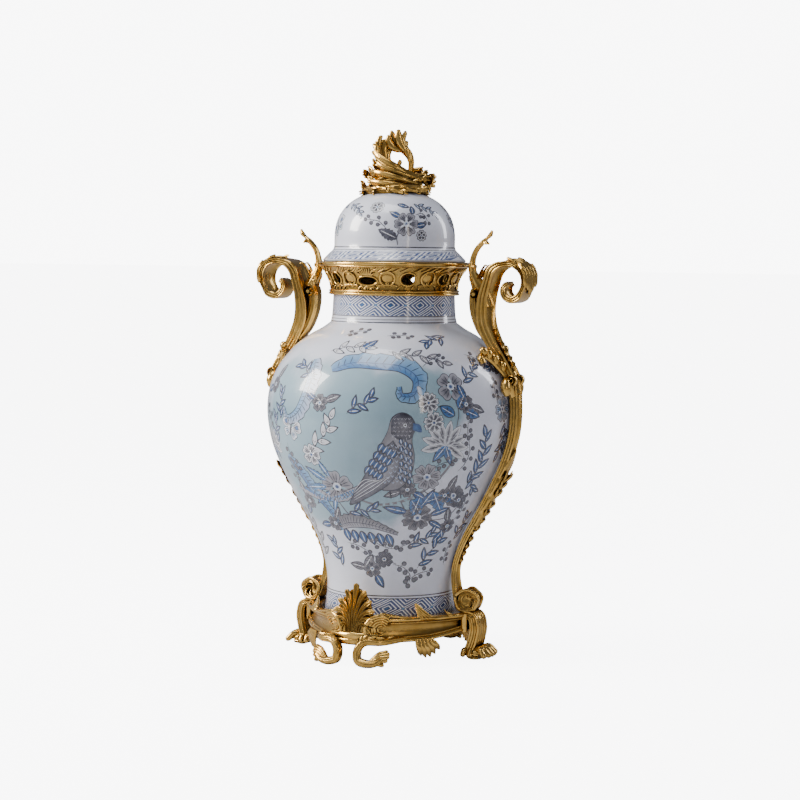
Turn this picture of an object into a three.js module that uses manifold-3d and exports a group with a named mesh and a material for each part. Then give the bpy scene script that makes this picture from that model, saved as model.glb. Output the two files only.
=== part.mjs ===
// A lidded porcelain ginger jar of baluster form in gilt bronze mounts. The jar stands in a footed bronze
// base, a pierced bronze collar sits on its neck, the domed lid rests on the collar with a bronze finial of
// swirling leaves, and two bronze scroll handles run from the shoulder down to the base.
// Millimetres, +Z up. Z is the jar's axis, the handles stand on +X and -X, and the leaf palmettes face -Y and +Y.
import * as THREE from "three";
import { mergeVertices } from "three/addons/utils/BufferGeometryUtils.js";
import Module from "manifold-3d";

const wasm = await Module();
wasm.setup();

// Driving dimensions
const fitGap = 0.3; // left between two pieces that touch
const roundSteps = 30; // facets round every turned piece

const seatZ = 44; // the jar's foot stands here, on the ledge of the base
const jarWall = 6;
const jarFloor = 8;
const footRadius = 78;
const footRimWidth = 12; // the unglazed ring that the jar stands on
const footRecess = 5;
const footClearance = 1.2; // round the foot, in the well of the base
const waistRadius = 75;
const waistHeight = 46; // heights of the jar are above its seat
const bellyRadius = 146.5;
const bellyHeight = 246;
const neckHeight = 343; // where the shoulder meets the neck
const neckBaseRadius = 73.5;
const neckLength = 34;
const neckRimRadius = 70.5;

const collarBandHeight = 6.5;
const collarBandOverlap = 2.5; // how far the band reaches down the outside of the neck
const collarBandThickness = 3.2;
const collarFlare = 15.5; // how far the top rim stands out beyond the band
const collarHeight = 38.5; // from the band's lower edge to the top rim
const collarWall = 3.4;
const collarRimHeight = 5;
const collarFlangeWidth = 9; // the inner ring that stands on the neck's rim
const collarFlangeThickness = 2.5;
const collarHoles = 10;
const roundHole = [9, 7.5]; // half width and half height
const ovalHole = [11.5, 5.2];

const lidDomeRadius = 70.2;
const lidBrimDrop = 4.8; // the brim ends this far inside the collar's rim
const lidBrimHeight = 16;
const lidDomeStraight = 8;
const lidDomeRise = 58;
const lidDomeSquareness = 2.4; // exponent of the superellipse
const lidWall = 5;
const lidTongue = 4.5; // the ring that drops into the collar's mouth
const lidTongueClearance = 1;

const baseCornerRadius = 103; // at the palmettes and under the handles
const baseSideShare = 0.892; // radius half way between two corners, as a share of the corner's
const baseBottomZ = 26;
const baseTopZ = 55;
const basePanelDepth = 4.5;
const baseWall = 7;
const baseLedgeThickness = 6;
const baseLedgeWidth = 20;
const baseEndLift = 8; // how far the panel's lower edge rises towards the side legs

const handleWidth = 17; // of the strap, round the jar
const handleThickness = 9.5;
const strapClearance = 2.4; // between the strap's inner face and the porcelain
const lowerRollRadius = 15;
const lowerRollWidth = 21;
const rollSplay = 0.3; // how much each end of the roll narrows per millimetre outward
const lowerRollInset = 3; // of the roll's centre from the base's corner
const voluteRadius = 6.5;
const voluteSpan = 30;
const scrollRadius = 28;
const scrollWidth = 40;
const scrollReach = 77.5; // from the neck out to the scroll's centre
const scrollLift = 48; // from the foot of the neck up to it
const sprigHeight = 69; // of the sprig's tip above the small volute

const palmetteHeight = 68;
const palmetteWidth = 47;
const legThickness = 9.5;
const legPairShift = 4; // the front legs stand a little to one side of the palmette
const sideLegWidth = 28;
const sideLegReach = 28; // from the base's corner out to the toes

const finialHeight = 74;
const finialRadius = 40;
const finialTurn = THREE.MathUtils.degToRad(24);

// Heights and radii that follow from them
const waistZ = seatZ + waistHeight;
const bellyZ = seatZ + bellyHeight;
const neckZ = seatZ + neckHeight;
const neckRimZ = neckZ + neckLength;
const collarBottomZ = neckRimZ - collarBandOverlap;
const collarTopZ = collarBottomZ + collarHeight;
const bandInnerRadius = neckRimRadius + 2.5 * fitGap;
const bandRadius = bandInnerRadius + collarBandThickness;
const collarRimRadius = bandRadius + collarFlare - 2;
const collarMouthRadius = collarRimRadius - collarWall - 1;
const lidZ = collarTopZ + fitGap;
const lidBrimRadius = collarRimRadius - lidBrimDrop;
const domeTopZ = lidZ + lidBrimHeight + lidDomeStraight + lidDomeRise;

const TAU = Math.PI * 2;
const lerp = THREE.MathUtils.lerp;
const V2 = (x, y) => new THREE.Vector2(x, y);
const V3 = (x, y, z) => new THREE.Vector3(x, y, z);
const degrees = THREE.MathUtils.degToRad;

// Mesh helpers: a closed surface becomes a solid, and a solid becomes a geometry again.
function toSolid(positions, triangles) {
  let volume = 0;
  const at = (i) => V3(positions[3 * i], positions[3 * i + 1], positions[3 * i + 2]);
  for (let i = 0; i < triangles.length; i += 3) {
    const [a, b, c] = [at(triangles[i]), at(triangles[i + 1]), at(triangles[i + 2])];
    volume += a.dot(b.cross(c)) / 6;
  }
  const faces = new Uint32Array(triangles);
  if (volume < 0) {
    for (let i = 0; i < faces.length; i += 3) {
      [faces[i + 1], faces[i + 2]] = [faces[i + 2], faces[i + 1]];
    }
  }
  const mesh = new wasm.Mesh({ numProp: 3, vertProperties: new Float32Array(positions), triVerts: faces });
  return new wasm.Manifold(mesh);
}

function solidOf(geometry) {
  const bare = geometry.clone();
  bare.deleteAttribute("normal");
  bare.deleteAttribute("uv");
  const merged = mergeVertices(bare, 1e-3);
  return toSolid(Array.from(merged.attributes.position.array), Array.from(merged.index.array));
}

function geometryOf(solid) {
  const mesh = solid.getMesh();
  const geometry = new THREE.BufferGeometry();
  geometry.setAttribute("position", new THREE.BufferAttribute(mesh.vertProperties, 3));
  geometry.setIndex(new THREE.BufferAttribute(mesh.triVerts, 1));
  geometry.computeVertexNormals();
  return geometry;
}

const join = (solids) => solids.reduce((whole, piece) => whole.add(piece));

// A turned piece: the outline holds (radius, height) pairs and closes on the axis or on itself.
function turned(outline, steps = roundSteps) {
  const closed = [...outline, outline[0]].map(([r, z]) => V2(r, z));
  const geometry = new THREE.LatheGeometry(closed, steps);
  geometry.rotateX(Math.PI / 2);
  return solidOf(geometry);
}

// A bar swept along stations {at, halfWidth, halfThickness}. side runs across its width, and the section holds
// (across, through) pairs, each from -1 to 1.
function swept(stations, side, section) {
  const positions = [];
  const triangles = [];
  const n = section.length;
  stations.forEach((station, i) => {
    const before = stations[Math.max(0, i - 1)].at;
    const after = stations[Math.min(stations.length - 1, i + 1)].at;
    const along = after.clone().sub(before).normalize();
    const wanted = typeof side === "function" ? side(station, i) : side;
    const through = wanted.clone().cross(along).normalize();
    const across = along.clone().cross(through).normalize();
    section.forEach(([b, t]) => {
      const p = station.at.clone();
      p.addScaledVector(across, b * station.halfWidth);
      p.addScaledVector(through, t * station.halfThickness);
      positions.push(p.x, p.y, p.z);
    });
  });
  for (let i = 0; i + 1 < stations.length; i++) {
    for (let j = 0; j < n; j++) {
      const [a, b] = [i * n + j, i * n + ((j + 1) % n)];
      triangles.push(a, b, b + n, a, b + n, a + n);
    }
  }
  const last = (stations.length - 1) * n;
  const [first, end] = [stations[0].at, stations[stations.length - 1].at];
  const centre = positions.length / 3;
  positions.push(first.x, first.y, first.z, end.x, end.y, end.z);
  for (let j = 0; j < n; j++) {
    triangles.push(centre, (j + 1) % n, j);
    triangles.push(centre + 1, last + j, last + ((j + 1) % n));
  }
  return toSolid(positions, triangles);
}

// Stations along a smooth curve through a few named ones.
function smooth(stations, steps) {
  const curve = new THREE.CatmullRomCurve3(stations.map((s) => s.at), false, "centripetal");
  return Array.from({ length: steps + 1 }, (_, i) => {
    const place = (i / steps) * (stations.length - 1);
    const k = Math.min(stations.length - 2, Math.floor(place));
    const mix = place - k;
    return {
      at: curve.getPoint(i / steps),
      halfWidth: lerp(stations[k].halfWidth, stations[k + 1].halfWidth, mix),
      halfThickness: lerp(stations[k].halfThickness, stations[k + 1].halfThickness, mix),
    };
  });
}

// A leaf or shell with a front and a back: place(u, v, face) gives a point, with face 1 in front and -1 behind.
function slab(columns, rows, place) {
  const positions = [];
  const triangles = [];
  const index = (face, i, j) => (face * (rows + 1) + j) * (columns + 1) + i;
  for (const face of [1, -1]) {
    for (let j = 0; j <= rows; j++) {
      for (let i = 0; i <= columns; i++) {
        const p = place((2 * i) / columns - 1, j / rows, face);
        positions.push(p.x, p.y, p.z);
      }
    }
  }
  const quad = (a, b, c, d) => triangles.push(a, b, c, a, c, d);
  for (let j = 0; j < rows; j++) {
    for (let i = 0; i < columns; i++) {
      quad(index(0, i, j), index(0, i + 1, j), index(0, i + 1, j + 1), index(0, i, j + 1));
      quad(index(1, i, j), index(1, i, j + 1), index(1, i + 1, j + 1), index(1, i + 1, j));
    }
    quad(index(0, 0, j), index(0, 0, j + 1), index(1, 0, j + 1), index(1, 0, j));
    quad(index(0, columns, j), index(1, columns, j), index(1, columns, j + 1), index(0, columns, j + 1));
  }
  for (let i = 0; i < columns; i++) {
    quad(index(0, i, 0), index(1, i, 0), index(1, i + 1, 0), index(0, i + 1, 0));
    quad(index(0, i, rows), index(0, i + 1, rows), index(1, i + 1, rows), index(1, i, rows));
  }
  return toSolid(positions, triangles);
}

const station = (x, y, z, width, thickness) => ({
  at: V3(x, y, z),
  halfWidth: width / 2,
  halfThickness: thickness / 2,
});

// Sections: a fluted strap, a rounded stem and a leaf with a midrib.
const fluted = [[-1, -0.6], [-1, 0.6], [-0.5, 1], [0, 0.6], [0.5, 1], [1, 0.6], [1, -0.6], [0, -0.9]];
const flange = [[-1, -0.5], [-0.8, 0.7], [0, 1], [0.8, 0.7], [1, -0.5], [0, -1]];
const stem = [[-1, 0.2], [0, 1], [1, 0.2], [0.6, -0.9], [-0.6, -0.9]];
const ribbed = [[-1, -0.2], [-0.55, 0.75], [0, 0.45], [0.55, 0.75], [1, -0.2], [0, -0.8]];

// The jar's outer profile from foot to neck rim, as heights and radii on a smooth curve. The inner stations
// are shares of the way from the waist to the belly and from the belly to the neck.
const risingShares = [[0.22, 0.15], [0.5, 0.57], [0.78, 0.915]];
const closingShares = [[0.36, 0.1], [0.66, 0.37], [0.83, 0.64], [0.93, 0.87]];
const neckShares = [[0.55, 0.25], [1, 1]];
function jarProfile(steps) {
  const stations = [
    [footRadius, seatZ],
    [waistRadius, waistZ],
    ...risingShares.map(([h, r]) => [lerp(waistRadius, bellyRadius, r), lerp(waistZ, bellyZ, h)]),
    [bellyRadius, bellyZ],
    ...closingShares.map(([h, r]) => [lerp(bellyRadius, neckBaseRadius, r), lerp(bellyZ, neckZ, h)]),
    [neckBaseRadius, neckZ],
  ];
  const curve = new THREE.CatmullRomCurve3(stations.map(([r, z]) => V3(r, 0, z)), false, "centripetal");
  const body = Array.from({ length: steps + 1 }, (_, i) => {
    const p = curve.getPoint(i / steps);
    return [p.x, p.z];
  });
  const neck = neckShares.map(([r, h]) => [
    lerp(neckBaseRadius, neckRimRadius, r),
    lerp(neckZ, neckRimZ, h),
  ]);
  return [...body, ...neck];
}

const fineJarProfile = jarProfile(120);
function jarRadiusAt(z) {
  const above = fineJarProfile.findIndex(([, height]) => height >= z);
  if (above < 1) return z < seatZ ? footRadius : neckRimRadius;
  const [[r0, z0], [r1, z1]] = [fineJarProfile[above - 1], fineJarProfile[above]];
  return lerp(r0, r1, (z - z0) / (z1 - z0));
}

// How much further the true corner of a faceted round stands out than its flats.
const facetGrowth = 1 / Math.cos(Math.PI / roundSteps);

function makeJar() {
  const outer = jarProfile(12);
  outer[0] = [footRadius, seatZ];
  const inner = outer
    .filter(([, z]) => z > seatZ + jarFloor && z < neckRimZ)
    .filter((_, i) => i % 2 === 0)
    .map(([r, z]) => [r - jarWall, z]);
  const rimRadius = outer[outer.length - 1][0];
  return turned([
    [0, seatZ + footRecess],
    [footRadius - footRimWidth, seatZ + footRecess],
    [footRadius - footRimWidth, seatZ],
    ...outer,
    [rimRadius - jarWall, neckRimZ],
    ...inner.reverse(),
    [footRadius - 2 * jarWall, seatZ + footRecess + jarFloor],
    [0, seatZ + footRecess + jarFloor],
  ]);
}

// The space that the jar fills, grown by the fitting gap, to cut bronze pieces clear of it.
function jarClearance() {
  const grown = jarProfile(12).map(([r, z]) => [(r + fitGap) * facetGrowth, z]);
  return turned([[0, seatZ - fitGap], [grown[0][0], seatZ - fitGap], ...grown, [0, neckRimZ]]);
}

// The collar's cavetto wall, from the band up to the rim.
const collarWallBottomZ = collarBottomZ + collarBandHeight;
const collarWallTopZ = collarTopZ - collarRimHeight;
function collarWallRadius(z) {
  const share = THREE.MathUtils.clamp((z - collarWallBottomZ) / (collarWallTopZ - collarWallBottomZ), 0, 1);
  return lerp(bandRadius - 1.5, collarRimRadius - 2, share ** 2.1);
}

function ovalPrism([halfWidth, halfHeight], radiusFrom, radiusTo, angle, z) {
  const shape = new THREE.Shape();
  shape.absellipse(0, 0, halfWidth, halfHeight, 0, TAU);
  const geometry = new THREE.ExtrudeGeometry(shape, {
    depth: radiusTo - radiusFrom,
    bevelEnabled: false,
    curveSegments: 4,
  });
  geometry.rotateX(Math.PI / 2); // the prism now runs along -Y
  geometry.translate(0, -radiusFrom, 0);
  geometry.rotateZ(angle + Math.PI / 2);
  geometry.translate(0, 0, z);
  return solidOf(geometry);
}

function makeCollar() {
  const wallSteps = 3;
  const wall = Array.from({ length: wallSteps + 1 }, (_, i) => {
    const z = lerp(collarWallBottomZ, collarWallTopZ, i / wallSteps);
    return [collarWallRadius(z), z];
  });
  const flangeZ = neckRimZ + fitGap;
  const flangeTopZ = flangeZ + collarFlangeThickness;
  const ring = turned([
    [bandRadius, collarBottomZ],
    [bandRadius, collarWallBottomZ - 0.5],
    ...wall,
    [collarRimRadius, collarWallTopZ + 1],
    [collarRimRadius, collarTopZ],
    [collarMouthRadius, collarTopZ],
    [collarMouthRadius, collarWallTopZ],
    ...wall.slice(1, -1).reverse().map(([r, z]) => [r - collarWall, z]),
    [bandRadius - 1.5 - collarWall, flangeTopZ],
    [bandInnerRadius - collarFlangeWidth, flangeTopZ],
    [bandInnerRadius - collarFlangeWidth, flangeZ],
    [bandInnerRadius, flangeZ],
    [bandInnerRadius, collarBottomZ],
  ]);
  const holeZ = lerp(collarWallBottomZ, collarWallTopZ, 0.46);
  const deep = collarWallRadius(holeZ) - 3 * collarWall;
  const holes = [];
  for (let i = 0; i < collarHoles; i++) {
    const angle = -Math.PI / 2 + (i * TAU) / collarHoles;
    const size = i % (collarHoles / 2) === 0 ? ovalHole : roundHole;
    const z = size === ovalHole ? holeZ - 2 : holeZ;
    const front = collarWallRadius(z);
    holes.push(ovalPrism(size, deep, front + 2 * collarWall, angle, z));
  }
  return ring.subtract(join(holes));
}

// The lid's dome as a superellipse: its radius at each share of its rise.
function domeRadius(share, radius = lidDomeRadius) {
  return radius * (1 - share ** lidDomeSquareness) ** (1 / lidDomeSquareness);
}

const domeShares = [0, 0.35, 0.6, 0.8, 0.93];
const domeStartZ = lidZ + lidBrimHeight + lidDomeStraight;

function makeLid() {
  const tongueRadius = collarMouthRadius - lidTongueClearance;
  const innerStartZ = lidZ + lidBrimHeight;
  const innerRise = domeTopZ - lidWall - innerStartZ;
  const innerRadius = lidDomeRadius - lidWall;
  return turned([
    [tongueRadius, lidZ - lidTongue],
    [tongueRadius, lidZ],
    [lidBrimRadius, lidZ],
    [lidBrimRadius, lidZ + 2],
    [lerp(lidBrimRadius, lidDomeRadius, 0.5), lidZ + 0.5 * lidBrimHeight],
    [lerp(lidBrimRadius, lidDomeRadius, 0.92), lidZ + 0.86 * lidBrimHeight],
    ...domeShares.map((s) => [domeRadius(s), domeStartZ + s * lidDomeRise]),
    [0, domeTopZ],
    [0, domeTopZ - lidWall],
    ...[0.93, 0.7, 0].map((s) => [domeRadius(s, innerRadius), innerStartZ + s * innerRise]),
    [tongueRadius - lidWall, lidZ],
    [tongueRadius - lidWall, lidZ - lidTongue],
  ]);
}

function lidClearance() {
  const grown = domeShares.map((s) => [
    (domeRadius(s) + fitGap) * facetGrowth,
    domeStartZ + s * lidDomeRise + fitGap,
  ]);
  return turned([[0, lidZ], [grown[0][0], lidZ], ...grown, [0, domeTopZ + fitGap]]);
}

// A finial leaf that swirls round the axis: angles in degrees, radii and heights as shares of the finial's.
function swirl({ angles, radii, heights, width, thickness, bend = 1, steps = 5 }) {
  const stations = Array.from({ length: steps + 1 }, (_, i) => {
    const s = i / steps;
    const angle = degrees(lerp(angles[0], angles[1], s)) + finialTurn;
    const bow = (2 * s - 1) ** 2;
    const radius = finialRadius * lerp(radii[1], s < 0.5 ? radii[0] : radii[2], bow);
    const height = lerp(heights[0], heights[1], s ** bend);
    const taper = 0.35 + 0.65 * Math.sin(Math.PI * Math.min(1, 0.15 + 0.8 * s));
    return station(
      radius * Math.cos(angle),
      radius * Math.sin(angle),
      domeTopZ + height * finialHeight,
      width * taper,
      thickness * taper,
    );
  });
  return swept(stations, (s) => V3(-s.at.x, -s.at.y, -2.2 * finialRadius), ribbed);
}

// A plume of the finial in its own upright plane: (across, height) pairs as shares, a little forward or back.
function plume(points, depth, widths, thickness) {
  const stations = points.map(([a, h], i) => {
    const across = a * finialRadius;
    return station(
      across * Math.cos(finialTurn) + depth * Math.sin(finialTurn),
      across * Math.sin(finialTurn) - depth * Math.cos(finialTurn),
      domeTopZ + h * finialHeight,
      lerp(widths[0], widths[1], i / (points.length - 1)),
      thickness,
    );
  });
  const facing = V3(Math.sin(finialTurn), -Math.cos(finialTurn), 0);
  return swept(smooth(stations, points.length), facing, stem);
}

function makeFinial() {
  const mound = turned([
    [0, domeTopZ - 12],
    [0.8 * finialRadius, domeTopZ - 12],
    [0.7 * finialRadius, domeTopZ + 0.05 * finialHeight],
    [0.36 * finialRadius, domeTopZ + 0.26 * finialHeight],
    [0, domeTopZ + 0.4 * finialHeight],
  ], 8);
  const leaves = [
    swirl({ angles: [-172, -8], radii: [1, 0.76, 1], heights: [-0.03, 0.12], width: 20, thickness: 9 }),
    swirl({ angles: [-160, -20], radii: [0.9, 0.62, 0.9], heights: [0.3, 0.1], width: 18, thickness: 9 }),
    swirl({ angles: [8, 172], radii: [1, 0.76, 1], heights: [-0.03, 0.12], width: 20, thickness: 9 }),
    swirl({ angles: [20, 150], radii: [0.9, 0.62, 0.9], heights: [0.1, 0.26], width: 18, thickness: 9 }),
    swirl({
      angles: [-162, 12],
      radii: [0.66, 0.46, 1.1],
      heights: [0.66, 0.14],
      width: 18,
      thickness: 10,
      bend: 0.5,
      steps: 7,
    }),
    swirl({ angles: [0, 170], radii: [1.02, 0.5, 0.6], heights: [0.16, 0.4], width: 17, thickness: 10 }),
  ];
  const arch = [[0.4, 0.2], [0.52, 0.36], [0.54, 0.5], [0.42, 0.62], [0.22, 0.7], [0.08, 0.82], [-0.02, 0.94]];
  const flames = [
    plume(arch, 2, [11, 12], 11),
    plume([[0.24, 0.64], [0.24, 0.78], [0.31, 0.88]], 0, [12, 6], 9),
    plume([[0.12, 0.7], [0.08, 0.84], [0.12, 0.95]], 4, [12, 5], 9),
    plume([[0.02, 0.76], [-0.08, 0.86], [-0.1, 0.95]], -3, [12, 5], 9),
    plume([[0.14, 0.7], [-0.08, 0.66], [-0.22, 0.74], [-0.24, 0.86]], 2, [11, 7], 10),
    plume([[-0.22, 0.4], [-0.38, 0.54], [-0.42, 0.68], [-0.36, 0.8]], 4, [14, 8], 9),
    plume([[-0.22, 0.42], [-0.24, 0.58], [-0.16, 0.7]], -1, [14, 11], 10),
  ];
  return join([mound, ...leaves, ...flames]).subtract(lidClearance());
}

// The base's plan: a square with bowed sides and soft corners on the axes.
const planPower = 1.4;
const planSoftness = 0.02;
function planRadius(angle) {
  const norm = (c, s) => {
    const sum = (c * c + planSoftness) ** (planPower / 2) + (s * s + planSoftness) ** (planPower / 2);
    return sum ** (1 / planPower);
  };
  const corner = norm(1, 0);
  const side = norm(Math.SQRT1_2, Math.SQRT1_2);
  const plain = corner / norm(Math.cos(angle), Math.sin(angle));
  const plainSide = corner / side;
  const share = (1 - plain) / (1 - plainSide);
  return baseCornerRadius * (1 - share * (1 - baseSideShare));
}

// The point at an angle and height that stands out from the base's plan by the given amount.
function onBase(angleDegrees, z, out = 0) {
  const angle = degrees(angleDegrees);
  const r = planRadius(angle) + out;
  return V3(r * Math.cos(angle), r * Math.sin(angle), z);
}

function planLoft(levels, steps = 32) {
  const positions = [];
  const triangles = [];
  levels.forEach(({ out, z, lift = 0 }) => {
    for (let i = 0; i < steps; i++) {
      const angle = (i * TAU) / steps;
      const r = planRadius(angle) + out;
      const rise = lift * Math.cos(angle) ** 8;
      positions.push(r * Math.cos(angle), r * Math.sin(angle), z + rise);
    }
  });
  for (let k = 0; k + 1 < levels.length; k++) {
    for (let i = 0; i < steps; i++) {
      const [a, b] = [k * steps + i, k * steps + ((i + 1) % steps)];
      triangles.push(a, b, b + steps, a, b + steps, a + steps);
    }
  }
  const centre = positions.length / 3;
  positions.push(0, 0, levels[0].z, 0, 0, levels[levels.length - 1].z);
  const last = (levels.length - 1) * steps;
  for (let i = 0; i < steps; i++) {
    triangles.push(centre, (i + 1) % steps, i);
    triangles.push(centre + 1, last + i, last + ((i + 1) % steps));
  }
  return toSolid(positions, triangles);
}

// The fan of ribbed lobes at the front and the back of the base.
const palmetteLobes = 9;
function palmette(facing) {
  const rootZ = baseBottomZ + 2;
  const middleZ = rootZ + 0.42 * palmetteHeight;
  const spread = degrees(150);
  return slab(2 * palmetteLobes, 2, (u, v, face) => {
    const angle = u * spread;
    const tall = (Math.cos(angle) > 0 ? 0.58 : 0.42) * palmetteHeight;
    const wide = palmetteWidth / 2;
    const round = (Math.abs(Math.sin(angle)) / wide) ** 1.8 + (Math.abs(Math.cos(angle)) / tall) ** 1.8;
    const scallop = 1 - 0.14 * (1 + Math.cos(TAU * ((u + 1) / 2) * palmetteLobes)) / 2;
    const reach = scallop * round ** (-1 / 1.8);
    const away = 0.1 + 0.9 * v;
    const x = Math.sin(angle) * reach * away;
    const z = lerp(rootZ, middleZ + Math.cos(angle) * reach, away);
    const ridge = -Math.cos(TAU * ((u + 1) / 2) * palmetteLobes) * 1.5 * v;
    const lean = ((z - rootZ) / palmetteHeight) * 12;
    const belly = 3 * Math.sin(Math.PI * (0.25 + 0.75 * v));
    const back = baseCornerRadius - 5 - lean;
    const depth = face > 0 ? back + 8 + belly + ridge : back;
    return V3(x, facing * depth, z);
  });
}

// A C-scroll beside a palmette, on the panel's face.
function cScroll(facing, hand) {
  const turn = (degreesFromFront, z, out, size) => {
    const p = onBase(-90 + degreesFromFront, z, out);
    return station(hand * p.x, -facing * p.y, p.z, size, size);
  };
  const middle = (baseBottomZ + baseTopZ) / 2;
  const reach = (baseTopZ - baseBottomZ) / 2;
  const path = [
    turn(15, middle - 0.75 * reach, -1, 6),
    turn(11.5, middle - 0.2 * reach, 0, 10),
    turn(12, middle + 0.6 * reach, 1, 11),
    turn(17, middle + 1.08 * reach, 0, 9),
    turn(30, middle + 0.95 * reach, -1, 5),
  ];
  const inOrOut = hand * facing;
  return swept(smooth(path, 6), (s) => V3(inOrOut * s.at.x, inOrOut * s.at.y, 0), stem);
}

// A front leg: it leaves the panel's lower edge, runs towards the palmette, turns down and curls out into toes.
function frontLeg(facing, hand) {
  const out = baseCornerRadius + 8;
  const mid = baseBottomZ + 3;
  const step = (x, y, z, width, thickness, shift = legPairShift) =>
    station(hand * x + facing * shift, facing * y, z, width, thickness);
  const start = onBase(-54, mid, -6);
  const path = [
    step(start.x, -start.y, mid + 1, 9, legThickness * 0.7, 0),
    step(37, 0.88 * out, mid - 0.5, 11, legThickness * 0.9),
    step(19, 0.955 * out, mid - 1, 12, legThickness),
    step(12.5, 0.985 * out, 0.68 * mid, 12, legThickness),
    step(13.5, out, 0.28 * mid, 12, legThickness),
    step(21, out, 0.4 * legThickness, 12, legThickness),
    step(33, 0.96 * out, 0.55 * legThickness, 14, legThickness),
    step(46, 0.91 * out, 0.4 * mid, 16, legThickness, 0),
  ];
  return swept(smooth(path, 9), V3(0.22 * facing, hand, 0), flange);
}

// A side leg falls like a sheet of water under each handle and turns out into toes.
function sideLeg(hand) {
  const c = baseCornerRadius;
  const top = baseTopZ - 4;
  const step = (x, z, width, thickness) => station(hand * x, 0, z, width, thickness);
  const path = [
    step(c - 19, top - 1, sideLegWidth * 0.8, 6),
    step(c - 4, top, sideLegWidth * 0.9, 8),
    step(c + 6, top - 1, sideLegWidth, 9),
    step(c + 9, top * 0.72, sideLegWidth, 8),
    step(c + 7, top * 0.48, sideLegWidth, 8),
    step(c + 4, top * 0.24, sideLegWidth * 1.15, 9),
    step(c + 8, 4.2, sideLegWidth * 1.4, 11),
    step(c + 0.68 * sideLegReach, 3.8, sideLegWidth * 1.3, 10),
    step(c + sideLegReach, 9, sideLegWidth * 0.9, 6),
  ];
  return swept(smooth(path, 9), V3(0, -hand, 0), fluted);
}

// A leaf of three lobes that hangs below the middle of each panel, and the smaller one that stands above it.
function panelLeaf(facing, hand, upward) {
  const lobes = 3;
  const length = upward ? 19 : 21;
  const rootZ = upward ? baseTopZ - 3 : baseBottomZ + 4;
  return slab(2 * lobes, 1, (u, v, face) => {
    const scallop = 1 - 0.2 * (1 - Math.cos(TAU * ((u + 1) / 2) * lobes)) / 2;
    const slope = upward ? 0.55 - 0.45 * u : 0.45 + 0.55 * Math.cos((u + 0.4) * 1.5);
    const angle = upward ? lerp(-58, -40, (u + 1) / 2) - 3 * v : lerp(-53, -37, (u + 1) / 2) + 3 * v;
    const z = rootZ + (upward ? 1 : -1) * v * length * slope * scallop;
    const ridge = Math.cos(TAU * ((u + 1) / 2) * lobes) * 0.8 * v;
    const p = onBase(angle, z, (face > 0 ? 2 + ridge : -2.5) - (upward ? 4 * v : 0));
    return V3(hand * p.x, -facing * p.y, p.z);
  });
}

function makeBase() {
  const cove = lerp(baseBottomZ, baseTopZ, 0.45);
  const frame = planLoft([
    { out: -3, z: baseBottomZ, lift: baseEndLift },
    { out: 0, z: baseBottomZ + 2, lift: baseEndLift },
    { out: 0, z: baseBottomZ + 5, lift: baseEndLift },
    { out: -basePanelDepth, z: baseBottomZ + 7, lift: baseEndLift },
    { out: -basePanelDepth - 1, z: cove },
    { out: -basePanelDepth, z: baseTopZ - 8 },
    { out: 0, z: baseTopZ - 6 },
    { out: 1, z: baseTopZ - 2 },
    { out: -4, z: baseTopZ },
  ]);
  const ledgeTopZ = seatZ - fitGap;
  const recess = planLoft([
    { out: -baseWall - basePanelDepth, z: baseBottomZ - 10 },
    { out: -baseWall - basePanelDepth, z: ledgeTopZ - baseLedgeThickness },
  ], 24);
  const throughRadius = footRadius - baseLedgeWidth;
  const seatRadius = (footRadius + footClearance) * facetGrowth;
  const well = turned([
    [0, baseBottomZ - 10],
    [throughRadius, baseBottomZ - 10],
    [throughRadius, ledgeTopZ],
    [0, ledgeTopZ],
  ]);
  const hands = [1, -1];
  const corners = hands.flatMap((facing) => hands.map((hand) => [facing, hand]));
  const castings = [
    ...hands.map((facing) => palmette(facing)),
    ...corners.map(([facing, hand]) => cScroll(facing, hand)),
    ...corners.map(([facing, hand]) => frontLeg(facing, hand)),
    ...corners.map(([facing, hand]) => panelLeaf(facing, hand, true)),
    ...corners.map(([facing, hand]) => panelLeaf(facing, hand, false)),
    ...hands.map((hand) => sideLeg(hand)),
  ];
  const floor = solidOf(new THREE.BoxGeometry(4 * baseCornerRadius, 4 * baseCornerRadius, 40).translate(0, 0, -20));
  const rolls = hands.map((hand) => lowerRollSpace(hand));
  const seat = new THREE.CylinderGeometry(seatRadius, seatRadius, palmetteHeight, roundSteps);
  seat.rotateX(Math.PI / 2).translate(0, 0, ledgeTopZ + palmetteHeight / 2);
  const ring = frame.subtract(join([recess, well]));
  return join([ring, ...castings]).subtract(join([floor, solidOf(seat), ...rolls]));
}

// The handle's lower end is a roll that sits in a saddle on the base's corner.
const rollX = baseCornerRadius - lowerRollInset;
const rollDepth = 0.86 * lowerRollRadius; // from the roll's centre down to its underside
const rollZ = baseTopZ + fitGap + rollDepth;
function lowerRollSpace(hand) {
  const radius = rollDepth + 2 * fitGap;
  const geometry = new THREE.CylinderGeometry(radius, radius, 2 * sideLegWidth, 16);
  return solidOf(geometry.translate(hand * rollX, 0, rollZ));
}

// The point beside the jar at a height, standing off its surface by the given amount.
function besideJar(z, off, angleDegrees = 0) {
  const slope = jarRadiusAt(z + 2) - jarRadiusAt(z - 2);
  const normal = V2(4, -slope).normalize();
  const r = jarRadiusAt(z) + off * normal.x;
  const angle = degrees(angleDegrees);
  return V3(r * Math.cos(angle), r * Math.sin(angle), z + off * normal.y);
}

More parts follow.
